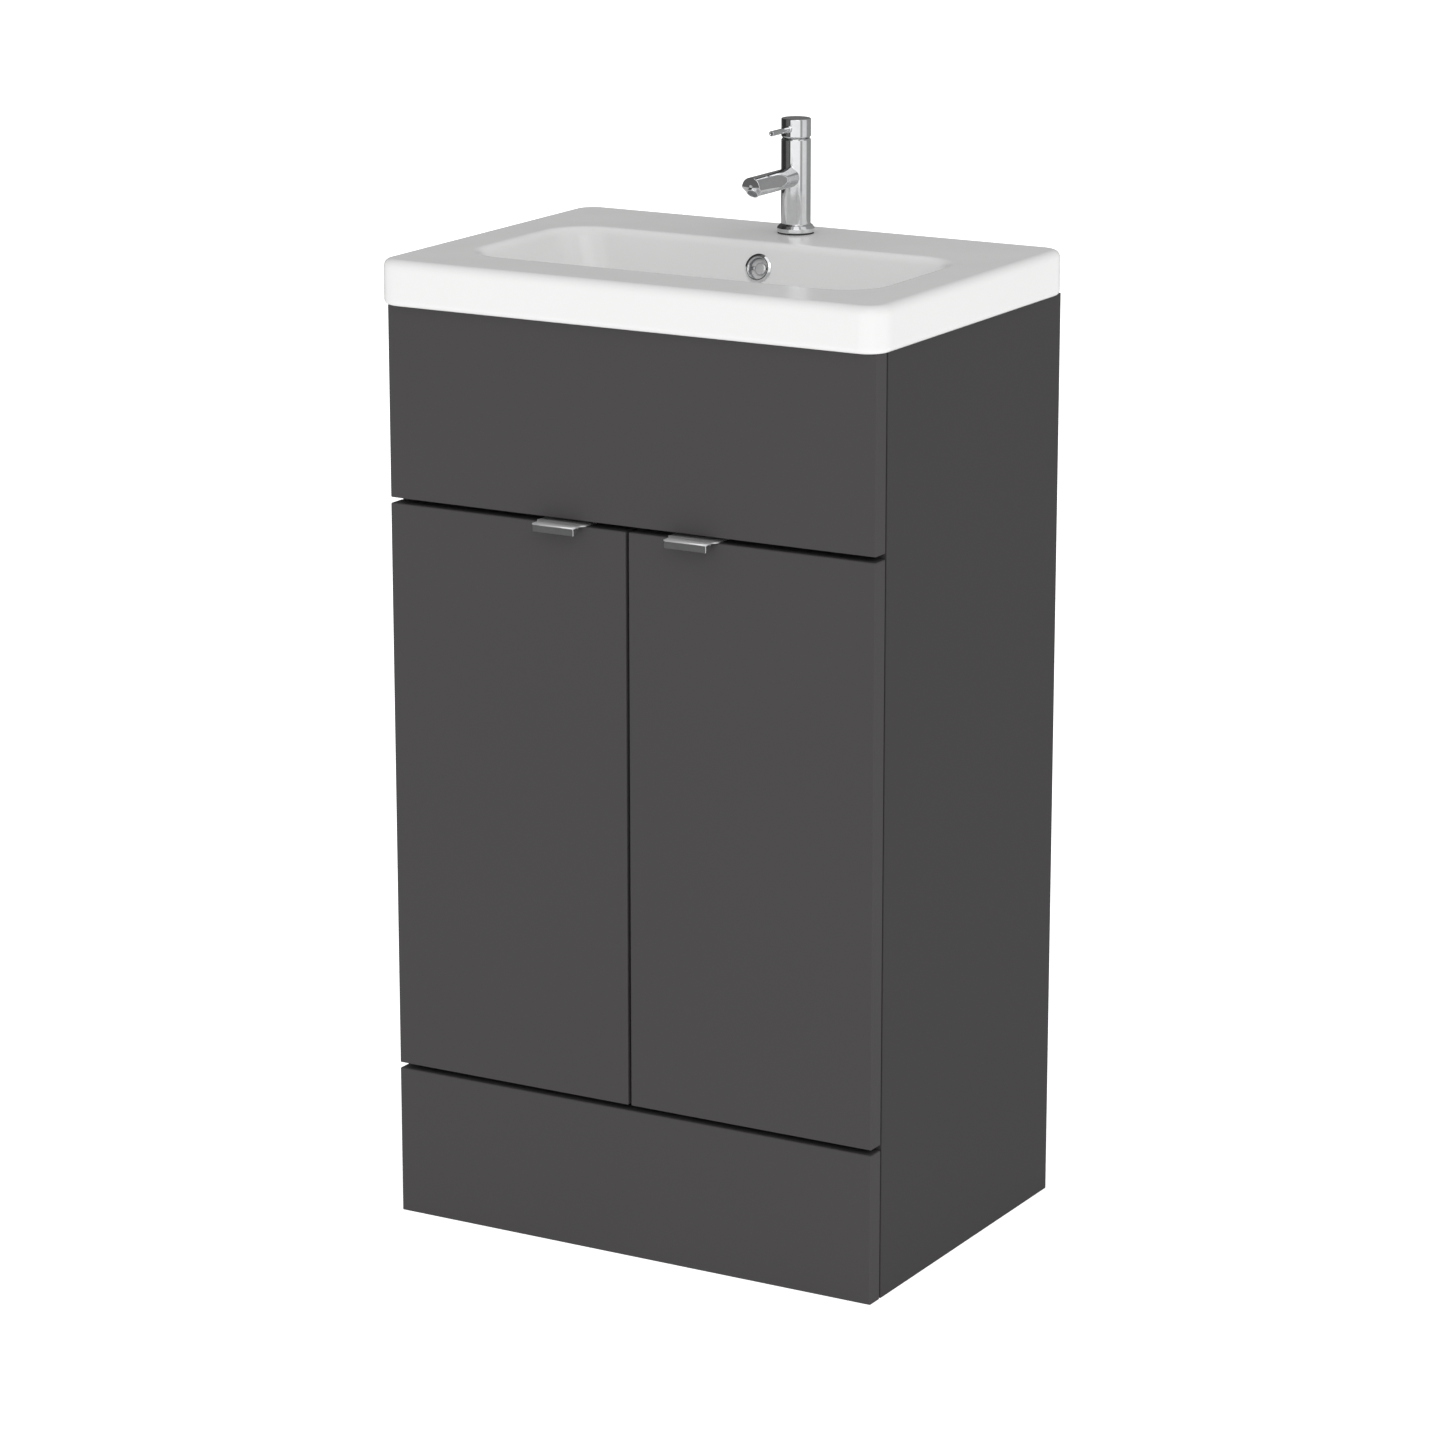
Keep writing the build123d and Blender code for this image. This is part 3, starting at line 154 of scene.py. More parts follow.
# %% Floor
FLOOR_REACH = 30.0
FLOOR_GLOW = 0.72
corners = [(-1, -1), (1, -1), (1, 1), (-1, 1)]
floor_mesh = bpy.data.meshes.new("floor")
floor_mesh.from_pydata([(FLOOR_REACH * x, FLOOR_REACH * y, 0.0) for x, y in corners], [], [(0, 1, 2, 3)])
floor = bpy.data.objects.new("floor", floor_mesh)
bpy.context.scene.collection.objects.link(floor)
paper = bpy.data.materials.new("white_sweep")
paper.use_nodes = True
tree = paper.node_tree
shader = tree.nodes["Principled BSDF"]
paper_values = {"Base Color": (0.8, 0.8, 0.8, 1), "Roughness": 1.0, "Specular IOR Level": 0.0,
                "Emission Color": (1, 1, 1, 1), "Emission Strength": FLOOR_GLOW}
for label, value in paper_values.items():
    shader.inputs[label].default_value = value
rays = tree.nodes.new("ShaderNodeLightPath")
glass = tree.nodes.new("ShaderNodeBsdfTransparent")
surface = choose(rays.outputs["Is Glossy Ray"], shader, glass)
tree.links.new(surface.outputs[0], tree.nodes["Material Output"].inputs["Surface"])
floor_mesh.materials.append(paper)
print("floor glow", FLOOR_GLOW)

# %% [markdown]
# ## Effects that several finishes share
#
# No real surface is one flat colour. Three small effects cover most of this object: a fine texture that
# breaks up the gloss, soft patches where the finish varies by a shade, and drawn lines such as the grain of
# wood or the marks of brushing. Each is a node group with named sockets, so every finish sets its own size.
#
# All three start from noise on the object's own coordinates. Its scale is one over the feature's size.


# %% Node group helper
def effect(name, numbers, outputs):
    """A new shader node group with number inputs (name, value) and value outputs."""
    made = bpy.data.node_groups.new(name, "ShaderNodeTree")
    for label, value in numbers:
        socket = made.interface.new_socket(label, in_out="INPUT", socket_type="NodeSocketFloat")
        socket.default_value = value
    for label in outputs:
        made.interface.new_socket(label, in_out="OUTPUT", socket_type="NodeSocketFloat")
    return made, made.nodes.new("NodeGroupInput"), made.nodes.new("NodeGroupOutput")


def add_noise(made, place, size_socket, detail):
    """Noise on the object's own coordinates whose features are about the given size in metres."""
    scale = made.nodes.new("ShaderNodeMath")
    scale.operation = "DIVIDE"
    scale.inputs[0].default_value = 1.0
    made.links.new(size_socket, scale.inputs[1])
    noise = made.nodes.new("ShaderNodeTexNoise")
    noise.inputs["Detail"].default_value = detail
    made.links.new(place, noise.inputs["Vector"])
    made.links.new(scale.outputs[0], noise.inputs["Scale"])
    return noise.outputs["Fac"]


def add_range(made, value, low, high):
    """Stretches the band low..high of a value to 0..1."""
    node = made.nodes.new("ShaderNodeMapRange")
    node.inputs["From Min"].default_value = low
    node.inputs["From Max"].default_value = high
    made.links.new(value, node.inputs["Value"])
    return node.outputs["Result"]


print("a grain of 0.5 mm is a noise scale of", round(1 / (0.5 * MM)))

# %% [markdown]
# The fine texture gives a height for the bump and a mask for the tone. The patches give only a mask. The
# drawn lines squeeze the coordinates along X by the stretch, so the noise is pulled out into streaks.

# %% Fine texture, soft patches and drawn lines
fine_texture, enter, leave = effect("fine_texture", [("Grain Size", 0.0006)], ["Height", "Mask"])
place = fine_texture.nodes.new("ShaderNodeTexCoord").outputs["Object"]
speckle = add_noise(fine_texture, place, enter.outputs["Grain Size"], 3.0)
fine_texture.links.new(speckle, leave.inputs["Height"])
fine_texture.links.new(add_range(fine_texture, speckle, 0.35, 0.65), leave.inputs["Mask"])

soft_patches, enter, leave = effect("soft_patches", [("Patch Size", 0.1)], ["Mask"])
place = soft_patches.nodes.new("ShaderNodeTexCoord").outputs["Object"]
cloud = add_noise(soft_patches, place, enter.outputs["Patch Size"], 2.0)
soft_patches.links.new(add_range(soft_patches, cloud, 0.3, 0.7), leave.inputs["Mask"])

drawn_numbers = [("Line Size", 0.0004), ("Stretch", 30.0)]
drawn_lines, enter, leave = effect("drawn_lines", drawn_numbers, ["Height", "Mask"])
place = drawn_lines.nodes.new("ShaderNodeTexCoord").outputs["Object"]
slow = drawn_lines.nodes.new("ShaderNodeMath")
slow.operation = "DIVIDE"
slow.inputs[0].default_value = 1.0
drawn_lines.links.new(enter.outputs["Stretch"], slow.inputs[1])
squeeze = drawn_lines.nodes.new("ShaderNodeCombineXYZ")
squeeze.inputs["Y"].default_value = 1.0
squeeze.inputs["Z"].default_value = 1.0
drawn_lines.links.new(slow.outputs[0], squeeze.inputs["X"])
along = drawn_lines.nodes.new("ShaderNodeVectorMath")
along.operation = "MULTIPLY"
drawn_lines.links.new(place, along.inputs[0])
drawn_lines.links.new(squeeze.outputs[0], along.inputs[1])
streak = add_noise(drawn_lines, along.outputs[0], enter.outputs["Line Size"], 4.0)
drawn_lines.links.new(streak, leave.inputs["Height"])
drawn_lines.links.new(add_range(drawn_lines, streak, 0.35, 0.65), leave.inputs["Mask"])
print("effects", [g.name for g in bpy.data.node_groups])


# %% [markdown]
# ## Finishes
#
# A finish mixes two close tones by an effect's mask, lets the same mask move the roughness a little, and
# takes its bump from the effect's height. Constants such as metallic, coat and specular level are set on the
# shader itself.


# %% Finish helper
def add_effect(tree, made, values):
    """Places an effect in a material, with its own values."""
    node = tree.nodes.new("ShaderNodeGroup")
    node.node_tree = made
    for label, value in values.items():
        node.inputs[label].default_value = value
    return node


def finish(name, tones, rough, relief, patch, grain=None, lines=None, **constants):
    """A finish of two tones and a low and high roughness. patch is the size of its soft patches; grain is a
    fine texture's size, or lines a (size, stretch); relief is the bump's depth in metres."""
    material = bpy.data.materials.new(name)
    material.use_nodes = True
    tree = material.node_tree
    skin_shader = tree.nodes["Principled BSDF"]
    for label, value in constants.items():
        skin_shader.inputs[label.replace("_", " ")].default_value = value
    patches = add_effect(tree, soft_patches, {"Patch Size": patch})
    if lines:
        texture = add_effect(tree, drawn_lines, {"Line Size": lines[0], "Stretch": lines[1]})
    else:
        texture = add_effect(tree, fine_texture, {"Grain Size": grain})
    blend = tree.nodes.new("ShaderNodeMix")
    blend.inputs["Factor"].default_value = 0.5
    tree.links.new(patches.outputs["Mask"], blend.inputs["A"])
    tree.links.new(texture.outputs["Mask"], blend.inputs["B"])
    colour = tree.nodes.new("ShaderNodeMix")
    colour.data_type = "RGBA"
    colour.inputs["A"].default_value = (*tones[0], 1)
    colour.inputs["B"].default_value = (*tones[1], 1)
    tree.links.new(blend.outputs["Result"], colour.inputs["Factor"])
    tree.links.new(colour.outputs["Result"], skin_shader.inputs["Base Color"])
    gloss = tree.nodes.new("ShaderNodeMapRange")
    gloss.inputs["To Min"].default_value, gloss.inputs["To Max"].default_value = rough
    tree.links.new(blend.outputs["Result"], gloss.inputs["Value"])
    tree.links.new(gloss.outputs["Result"], skin_shader.inputs["Roughness"])
    bump = tree.nodes.new("ShaderNodeBump")
    bump.inputs["Distance"].default_value = relief
    tree.links.new(texture.outputs["Height"], bump.inputs["Height"])
    tree.links.new(bump.outputs["Normal"], skin_shader.inputs["Normal"])
    return material


print("sockets of soft_patches", [socket.name for socket in soft_patches.interface.items_tree])

# %% [markdown]
# The fronts and sides are boards wrapped in a satin charcoal foil; the sides get darker tones of it, which
# are painted shade for faces turned from the light. The inside boards have a slightly rougher
# melamine face, and the thin back board is rougher again.

# %% Board finishes
SATIN = {"Specular_IOR_Level": 0.15}
finishes = {
    "front_laminate": finish(
        "satin_charcoal_foil", ((0.0625, 0.0593, 0.0608), (0.0656, 0.0623, 0.0639)), (0.46, 0.54), 0.02 * MM,
        0.35, grain=0.5 * MM, **SATIN),
    # The sides are the same foil as the fronts; their darker tones are painted shade for the side turned from
    # the light.
    "side_laminate": finish(
        "satin_charcoal_side_painted_shade", ((0.0498, 0.0472, 0.0485), (0.0523, 0.0497, 0.0510)), (0.48, 0.56), 0.02 * MM,
        0.35, grain=0.5 * MM, **SATIN),
    "carcass_board": finish(
        "charcoal_melamine", ((0.082, 0.078, 0.08), (0.092, 0.088, 0.09)), (0.5, 0.6), 0.03 * MM,
        0.2, grain=0.9 * MM, **SATIN),
    "back_board": finish(
        "charcoal_back_board", ((0.085, 0.082, 0.084), (0.1, 0.096, 0.098)), (0.62, 0.75), 0.05 * MM,
        0.12, grain=1.6 * MM, **SATIN),
}
print("board finishes", list(finishes))

# %% [markdown]
# The basin is fireclay under a clear glossy glaze. The clay gives the colour, and a coat gives the sharp
# reflection. The glaze has gentle waves a few centimetres across, far too shallow to see but enough to
# soften a reflected edge. Chrome is a mirror with the faintest haze. A satin plated face scatters some of
# its light, so it stays grey even where it looks into a dark gap. The hidden fittings are nickel, zinc,
# brass, beech, rubber and white polypropylene.

# %% Glaze, metal and plastic finishes
finishes["ceramic"] = finish(
    "white_glaze", ((0.808, 0.808, 0.804), (0.816, 0.816, 0.813)), (0.2, 0.26), 0.01 * MM, 0.3,
    grain=70 * MM, Coat_Weight=0.2, Coat_Roughness=0.06, Specular_IOR_Level=0.2)
finishes["chrome"] = finish(
    "polished_chrome", ((0.70, 0.705, 0.715), (0.76, 0.765, 0.775)), (0.035, 0.085), 0.002 * MM, 0.02,
    grain=5 * MM, Metallic=1.0)
finishes["satin_plate"] = finish(
    "satin_plated_face", ((0.72, 0.72, 0.73), (0.80, 0.80, 0.81)), (0.28, 0.38), 0.01 * MM, 0.02,
    lines=(0.25 * MM, 20), Metallic=0.55)
finishes["hinge_steel"] = finish(
    "nickel_plate", ((0.55, 0.54, 0.52), (0.68, 0.67, 0.65)), (0.22, 0.38), 0.01 * MM, 0.015,
    lines=(0.3 * MM, 25), Metallic=1.0)
finishes["screws"] = finish(
    "zinc_plate", ((0.5, 0.51, 0.53), (0.68, 0.69, 0.7)), (0.3, 0.48), 0.01 * MM, 0.004,
    grain=0.4 * MM, Metallic=1.0)
finishes["cams"] = finish(
    "die_cast_zinc", ((0.38, 0.38, 0.39), (0.55, 0.55, 0.56)), (0.42, 0.6), 0.05 * MM, 0.006,
    grain=0.5 * MM, Metallic=1.0)
finishes["dowel_wood"] = finish(
    "bare_beech", ((0.42, 0.26, 0.13), (0.64, 0.46, 0.28)), (0.55, 0.75), 0.08 * MM, 0.01,
    lines=(0.5 * MM, 18))
finishes["trap_plastic"] = finish(
    "white_polypropylene", ((0.74, 0.74, 0.725), (0.82, 0.82, 0.81)), (0.3, 0.42), 0.03 * MM, 0.05,
    grain=0.8 * MM)
finishes["rubber"] = finish(
    "black_rubber", ((0.018, 0.018, 0.019), (0.04, 0.04, 0.042)), (0.6, 0.85), 0.05 * MM, 0.01,
    grain=0.5 * MM)
finishes["aerator"] = finish(
    "grey_aerator_plastic", ((0.22, 0.23, 0.24), (0.34, 0.35, 0.37)), (0.35, 0.5), 0.02 * MM, 0.004,
    grain=0.4 * MM)
finishes["cartridge"] = finish(
    "white_cartridge_plastic", ((0.66, 0.67, 0.69), (0.76, 0.77, 0.79)), (0.3, 0.42), 0.02 * MM, 0.008,
    grain=0.5 * MM)
finishes["cartridge_metal"] = finish(
    "turned_brass", ((0.62, 0.43, 0.17), (0.78, 0.58, 0.28)), (0.2, 0.34), 0.01 * MM, 0.006,
    lines=(0.2 * MM, 20), Metallic=1.0)
print(len(finishes), "finishes")

# %% [markdown]
# The record names a material slot for every CAD node. The slot says what the part is made of, so it also
# picks the finish.

# %% Give every CAD node its finish
slot_of = {row["node"]: row["material_slot"] for row in frame["record"]["subparts"]}
for node, part in frame["nodes"].items():
    part.data.materials.clear()
    part.data.materials.append(finishes[slot_of[node]])
print("finished", len(slot_of), "CAD nodes")


# %% [markdown]
# ## Surfaces from rings
#
# Every new piece here is a stack of closed rings, worked out as one numpy array of shape (rings, points
# round a ring, 3). Neighbouring rings are joined with quads. A piece either closes on itself, last ring to
# first, or each end is closed with a fan to its middle point. The sign of the enclosed volume tells whether
# the faces point outwards; if it is negative they are turned.


# %% Skin over rings
def skin(name, rings, slot, body, closed=False, stands_for=(), look=None):
    """A smooth mesh over rings in metres, riding on a body. It wears its slot's finish unless given another
    look. Enclosed volume is the sum over triangles of a . (b x c) / 6, which is positive when faces point
    outwards."""
    count, around = rings.shape[:2]
    here = np.arange(around)
    there = np.roll(here, -1)
    steps = count if closed else count - 1
    low = (np.arange(steps) * around)[:, None]
    high = ((np.arange(steps) + 1) % count * around)[:, None]
    quads = np.stack([low + here, low + there, high + there, high + here], -1).reshape(-1, 4)
    points = rings.reshape(-1, 3)
    fans = np.zeros((0, 3), int)
    if not closed:
        points = np.vstack([points, rings[0].mean(0), rings[-1].mean(0)])
        ends = count * around
        top = (count - 1) * around
        fans = np.vstack([
            np.stack([there, here, np.full(around, ends)], -1),
            np.stack([top + here, top + there, np.full(around, ends + 1)], -1),
        ])
    triangles = np.vstack([quads[:, :3], quads[:, [0, 2, 3]], fans])
    a, b, c = (points[triangles[:, k]] for k in range(3))
    volume = np.einsum("ij,ij->i", a, np.cross(b, c)).sum() / 6
    if volume < 0:
        quads, fans = quads[:, ::-1], fans[:, ::-1]
    mesh = bpy.data.meshes.new(name)
    mesh.from_pydata(points.tolist(), [], quads.tolist() + fans.tolist())
    mesh.polygons.foreach_set("use_smooth", np.ones(len(mesh.polygons), bool))
    mesh.materials.append(finishes[look or slot])
    mesh.update()
    piece = bpy.data.objects.new(name, mesh)
    bpy.context.scene.collection.objects.link(piece)
    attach(piece, body)
    if stands_for:
        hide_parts(*stands_for)
    print(f"{name}: {len(points)} points, {abs(volume) * 1e6:.1f} cm3")
    return piece


print("ten open rings of 72 points make", 9 * 72, "quads and", 2 * 72, "triangles at the ends")

# %% [markdown]
# Most profiles are polygons with eased corners, because a sharp corner never catches the light as a real
# edge does. An arc may take up at most a share of each side it touches, and its guard points a smaller one.

# %% Eased profiles and turned rings
MOST_CUT = 0.42
MOST_GUARD = 0.1


def eased(corners, radii, closed=False, arc_steps=7, guard=0.25):
    """A profile with its corners rounded. At each corner the arc is the rational curve
    ((1-s)^2 A + 2 w s (1-s) P + s^2 C) / ((1-s)^2 + 2 w s (1-s) + s^2), which is a true circle when w is the
    cosine of half the turn. A guard point before and after each arc keeps the flats flat."""
    corners = np.asarray(corners, float)
    count = len(corners)
    line = []
    for k, (corner, radius) in enumerate(zip(corners, radii)):
        if not closed and k in (0, count - 1):
            line.append(corner[None])
            continue
        back, ahead = corners[k - 1] - corner, corners[(k + 1) % count] - corner
        back_long, ahead_long = np.linalg.norm(back), np.linalg.norm(ahead)
        back, ahead = back / back_long, ahead / ahead_long
        bend = pi - np.arccos(np.clip(back @ ahead, -1, 1))
        cut = min(radius * np.tan(bend / 2), MOST_CUT * back_long, MOST_CUT * ahead_long)
        s = np.linspace(0, 1, arc_steps)[:, None]
        w = np.cos(bend / 2)
        start, end = corner + back * cut, corner + ahead * cut
        arc = (1 - s) ** 2 * start + 2 * w * s * (1 - s) * corner + s**2 * end
        arc /= (1 - s) ** 2 + 2 * w * s * (1 - s) + s**2
        before = start + back * min(guard, MOST_GUARD * back_long)
        after = end + ahead * min(guard, MOST_GUARD * ahead_long)
        line.append(np.vstack([before, arc, after]))
    return np.vstack(line)


def turned_rings(profile, origin, axis, steps=72):
    """Rings of a turned piece. The profile is (radius, distance along the axis) in millimetres, and the ring
    of each profile point is origin + axis * distance + radius * (u cos t + v sin t)."""
    axis = np.asarray(axis, float) / np.linalg.norm(axis)
    u = np.cross(axis, (1.0, 0.0, 0.0) if abs(axis[0]) < 0.9 else (0.0, 1.0, 0.0))
    u /= np.linalg.norm(u)
    v = np.cross(axis, u)
    t = np.linspace(0, 2 * pi, steps, endpoint=False)
    way_out = np.cos(t)[:, None] * u + np.sin(t)[:, None] * v
    profile = np.asarray(profile) * MM
    return np.asarray(origin) + profile[:, None, 1:] * axis + profile[:, None, :1] * way_out


square = [(0, 0), (9, 0), (9, 9), (0, 9)]
print("an eased square has", len(eased(square, [1] * 4, closed=True)), "points")

# %% [markdown]
# ## The basin
#
# The basin is one glazed casting: a thick fascia with soft edges, a flat deck for the tap, a bowl whose
# walls lean inwards, and a hollow underside. Box modelling would give the same shape, but its soft lip and
# bowl fillet would need many hand-placed loops. Here every ring is a rounded rectangle with the same number
# of points, so a fillet is just a curve drawn through rings: with R0, R1 and R2 the rings before, at and
# after a sharp corner, ring(s) = (1-s)^2 R0 + 2 s (1-s) R1 + s^2 R2. The tap's hole is left out here, because
# the tap's foot hides it from above.
#
# A ring's points are shares of its straight sides, -1 to 1, with a few steps round each corner. The back side
# has many more points in its middle, where the overflow hole will be.

# %% Points round a ring
BASIN_MIDDLE = 2.5
BOWL_MIDDLE = -19.5
CORNER_STEPS = 11
quarter = np.linspace(0, pi / 2, CORNER_STEPS)
plain_side = np.array([-0.985, -0.9, -0.7, -0.45, -0.2, 0.0, 0.2, 0.45, 0.7, 0.9, 0.985])
towards_hole = np.array([-0.985, -0.9, -0.75, -0.6, -0.45, -0.32, -0.22, -0.16])
trim_side = np.concatenate([towards_hole, np.linspace(-0.12, 0.12, 29), -towards_hole[::-1]])
sides = [(1, 0, plain_side), (0, 1, trim_side), (-1, 0, plain_side), (0, -1, plain_side)]
along_x, along_y, turn = [], [], []
for k, (sx, sy, steps) in enumerate(sides):
    climb = steps if k in (0, 3) else -steps
    along_x.append(np.full(len(steps), float(sx)) if sx else climb)
    along_y.append(np.full(len(steps), float(sy)) if sy else climb)
    turn.append(np.full(len(steps), k * pi / 2))
    corner_x, corner_y = ((1, 1), (-1, 1), (-1, -1), (1, -1))[k]
    along_x.append(np.full(CORNER_STEPS, float(corner_x)))
    along_y.append(np.full(CORNER_STEPS, float(corner_y)))
    turn.append(k * pi / 2 + quarter)
along_x, along_y, turn = (np.concatenate(part) for part in (along_x, along_y, turn))
print(len(turn), "points round a ring")


def outline(half_x, half_y, corner, middle_y, z):
    """A rounded rectangle seen from above, in millimetres: each point is the corner circle's middle times
    (along_x, along_y), plus the corner radius in the direction of its turn."""
    x = along_x * (half_x - corner) + corner * np.cos(turn)
    y = along_y * (half_y - corner) + corner * np.sin(turn) + middle_y
    return np.stack([x, y, np.full_like(x, z)], -1)


def between(start, end, shares):
    """Rings at the given shares of the way from one ring to another."""
    s = np.asarray(shares, float)[:, None, None]
    return (1 - s) * start + s * end


def swept(before, sharp, after, steps=9):
    """Rings of a fillet that leaves one ring and reaches another round a sharp one."""
    s = np.linspace(0, 1, steps)[:, None, None]
    return (1 - s) ** 2 * before + 2 * s * (1 - s) * sharp + s**2 * after


# %% [markdown]
# The mouth and the floor are outlines of half width, half depth and corner radius. The leaning wall is every
# ring between them. The lip and the heel are swept round the sharp mouth and the sharp floor edge.

# %% Fascia, deck and bowl rings
TOP, RIM_FOOT, FLOOR_LEVEL = 906.0, 864.0, 796.0
RIM = (257.0, 182.5, 22.0)
MOUTH = (205.0, 92.5, 40.0)
FLOOR = (158.0, 61.0, 42.0)
LIP, HEEL = 7.5, 26.0
DECK_EDGE, FOOT_EDGE = 8.5, 5.5
LIP_SHARE, HEEL_SHARE = 0.062, 0.76


def bowl_outline(size, grown, z, corner_grown=None):
    """A size about the bowl's middle, grown on every side. Its corner grows alike unless told otherwise."""
    corner = size[2] + (grown if corner_grown is None else corner_grown)
    return outline(size[0] + grown, size[1] + grown, corner, BOWL_MIDDLE, z)


mouth = bowl_outline(MOUTH, 0, TOP)
bowl_floor = bowl_outline(FLOOR, 0, FLOOR_LEVEL)


def rim(inset, z):
    """The basin's outer outline, moved inwards by inset."""
    return outline(*(length - inset for length in RIM), BASIN_MIDDLE, z)


def bowl_wall(share):
    """A ring of the leaning bowl wall: 0 at the mouth and 1 at the floor."""
    return between(mouth, bowl_floor, [share])[0]


deck_edge = bowl_outline(MOUTH, LIP, TOP)
lip = swept(deck_edge, mouth, bowl_wall(LIP_SHARE))
floor_inset = bowl_outline(FLOOR, -HEEL, FLOOR_LEVEL)
heel = swept(bowl_wall(HEEL_SHARE), bowl_floor, floor_inset, 15)
wall_shares = np.concatenate([[0.068, 0.078], np.linspace(0.09, 0.38, 26), [0.46, 0.55, 0.63, 0.70, 0.75]])
fascia = np.concatenate([
    swept(rim(7.0, RIM_FOOT), rim(0, RIM_FOOT), rim(0, RIM_FOOT + FOOT_EDGE)),
    between(rim(0, RIM_FOOT + FOOT_EDGE + 0.7), rim(0, TOP - DECK_EDGE - 1), [0, 0.33, 0.66, 1]),
    swept(rim(0, TOP - DECK_EDGE), rim(0, TOP), rim(DECK_EDGE, TOP), 13),
    between(rim(DECK_EDGE + 0.8, TOP), deck_edge, [0, 0.3, 0.6, 0.97]),
])
bowl = np.concatenate([lip, [bowl_wall(s) for s in wall_shares], heel])
print("fascia", fascia.shape, "bowl", bowl.shape)

# %% [markdown]
# Near the waste the rings become circles: each point keeps its direction from the waste's middle. The
# underside mirrors the inside with a wall of clay between, and ends in a boss round the waste hole.

# %% Waste and underside rings
WASTE_MIDDLE = np.array([0.0, -23.5])
aim = floor_inset[:, :2] - WASTE_MIDDLE
aim /= np.linalg.norm(aim, axis=1)[:, None]


def circle(radius, z):
    """A ring about the waste's middle, in millimetres."""
    return np.column_stack([WASTE_MIDDLE + radius * aim, np.full(len(aim), z)])


DECK_UNDER, SHELL_LEVEL, BOSS_UNDER = 892.0, 786.0, 772.0
CLAY, SHELL_HEEL, RIM_WALL = 5.0, 22.0, 12.0
SHELL_FLARE = (216.0, 104.0, 46.0)
WASTE_HOLE, BOSS_RADIUS, GLAZED_EDGE = 22.5, 36.0, 0.7
shell_top = bowl_outline(MOUTH, CLAY, DECK_UNDER, CLAY / 2)
shell_flare = bowl_outline(SHELL_FLARE, 0, DECK_UNDER)
shell_floor = bowl_outline(FLOOR, CLAY, SHELL_LEVEL, CLAY / 2)
shell_inset = bowl_outline(FLOOR, CLAY - SHELL_HEEL, SHELL_LEVEL, CLAY / 2 - SHELL_HEEL)
hole_line = [
    (31, FLOOR_LEVEL),
    (WASTE_HOLE + GLAZED_EDGE, FLOOR_LEVEL),
    (WASTE_HOLE, FLOOR_LEVEL - GLAZED_EDGE),
    (WASTE_HOLE, 784),
    (WASTE_HOLE, BOSS_UNDER + GLAZED_EDGE),
    (WASTE_HOLE + GLAZED_EDGE, BOSS_UNDER),
    (BOSS_RADIUS - 1, BOSS_UNDER),
    (BOSS_RADIUS, BOSS_UNDER + 1),
    (BOSS_RADIUS, SHELL_LEVEL - 2),
    (BOSS_RADIUS + 2, SHELL_LEVEL),
]
hole = np.concatenate([
    between(floor_inset, circle(BOSS_RADIUS, FLOOR_LEVEL), [0.3, 0.65, 1]),
    [circle(radius, z) for radius, z in hole_line],
])


def shell(share):
    """A ring of the shell's outer wall: 0 at its floor and 1 under the deck."""
    return between(shell_floor, shell_top, [share])[0]


underside = np.concatenate([
    between(circle(BOSS_RADIUS + 2.5, SHELL_LEVEL), shell_inset, [0.4, 1]),
    swept(shell_inset, shell_floor, shell(0.2)),
    [shell(0.4), shell(0.7), shell(0.9)],
    swept(shell(0.95), shell_top, shell_flare, 5),
    [rim(RIM_WALL + 6, DECK_UNDER)],
    swept(rim(RIM_WALL + 5, DECK_UNDER), rim(RIM_WALL, DECK_UNDER), rim(RIM_WALL, DECK_UNDER - 5), 5),
    swept(rim(RIM_WALL, RIM_FOOT + 1.5), rim(RIM_WALL, RIM_FOOT), rim(RIM_WALL - 1.5, RIM_FOOT), 4),
])
print("hole", hole.shape, "underside", underside.shape)
rings = np.concatenate([fascia, bowl, hole, underside])

# %% [markdown]
# The overflow hole sits in the back wall. Its points within a radius of the hole's axis are pushed back
# along the axis into a blind recess, and the next ones out are drawn in to that radius, so that the edge of
# the recess is round and hides under the chrome trim.

# %% Overflow recess
wall_run, wall_rise = MOUTH[1] - FLOOR[1], TOP - FLOOR_LEVEL
into_wall = np.array([0.0, wall_rise, -wall_run]) / np.hypot(wall_run, wall_rise)
OVERFLOW_LEVEL = 883.0
wall_y = BOWL_MIDDLE + MOUTH[1] - wall_run * (TOP - OVERFLOW_LEVEL) / wall_rise
overflow_at = np.array([0.0, wall_y, OVERFLOW_LEVEL])
RECESS_RADIUS, RECESS_DEPTH, SNAP, WALL_REACH = 11.6, 15.0, 1.4, 3.0
bowl_rows = slice(len(fascia), len(fascia) + len(bowl))
offset = rings[bowl_rows] - overflow_at
depth = offset @ into_wall
flat = offset - depth[..., None] * into_wall
distance = np.linalg.norm(flat, axis=-1)
near = np.abs(depth) < WALL_REACH
inside = near & (distance < RECESS_RADIUS)
edge = near & ~inside & (distance < RECESS_RADIUS + SNAP)
pull_in = np.where(edge, RECESS_RADIUS / np.maximum(distance, 1e-6), 1.0)
rings[bowl_rows] = overflow_at + depth[..., None] * into_wall + flat * pull_in[..., None]
rings[bowl_rows] += np.where(inside, RECESS_DEPTH, 0.0)[..., None] * into_wall
skin("basin_glaze", rings * MM, "ceramic", "cabinet", closed=True, stands_for=["basin"])
print("recess points", int(inside.sum()), "edge points", int(edge.sum()))


# %% [markdown]
# Behind the recess a duct takes overflowing water down to the waste. Its front leans with the bowl wall, so
# it stays within the clay, and a flat channel joins it to the boss.


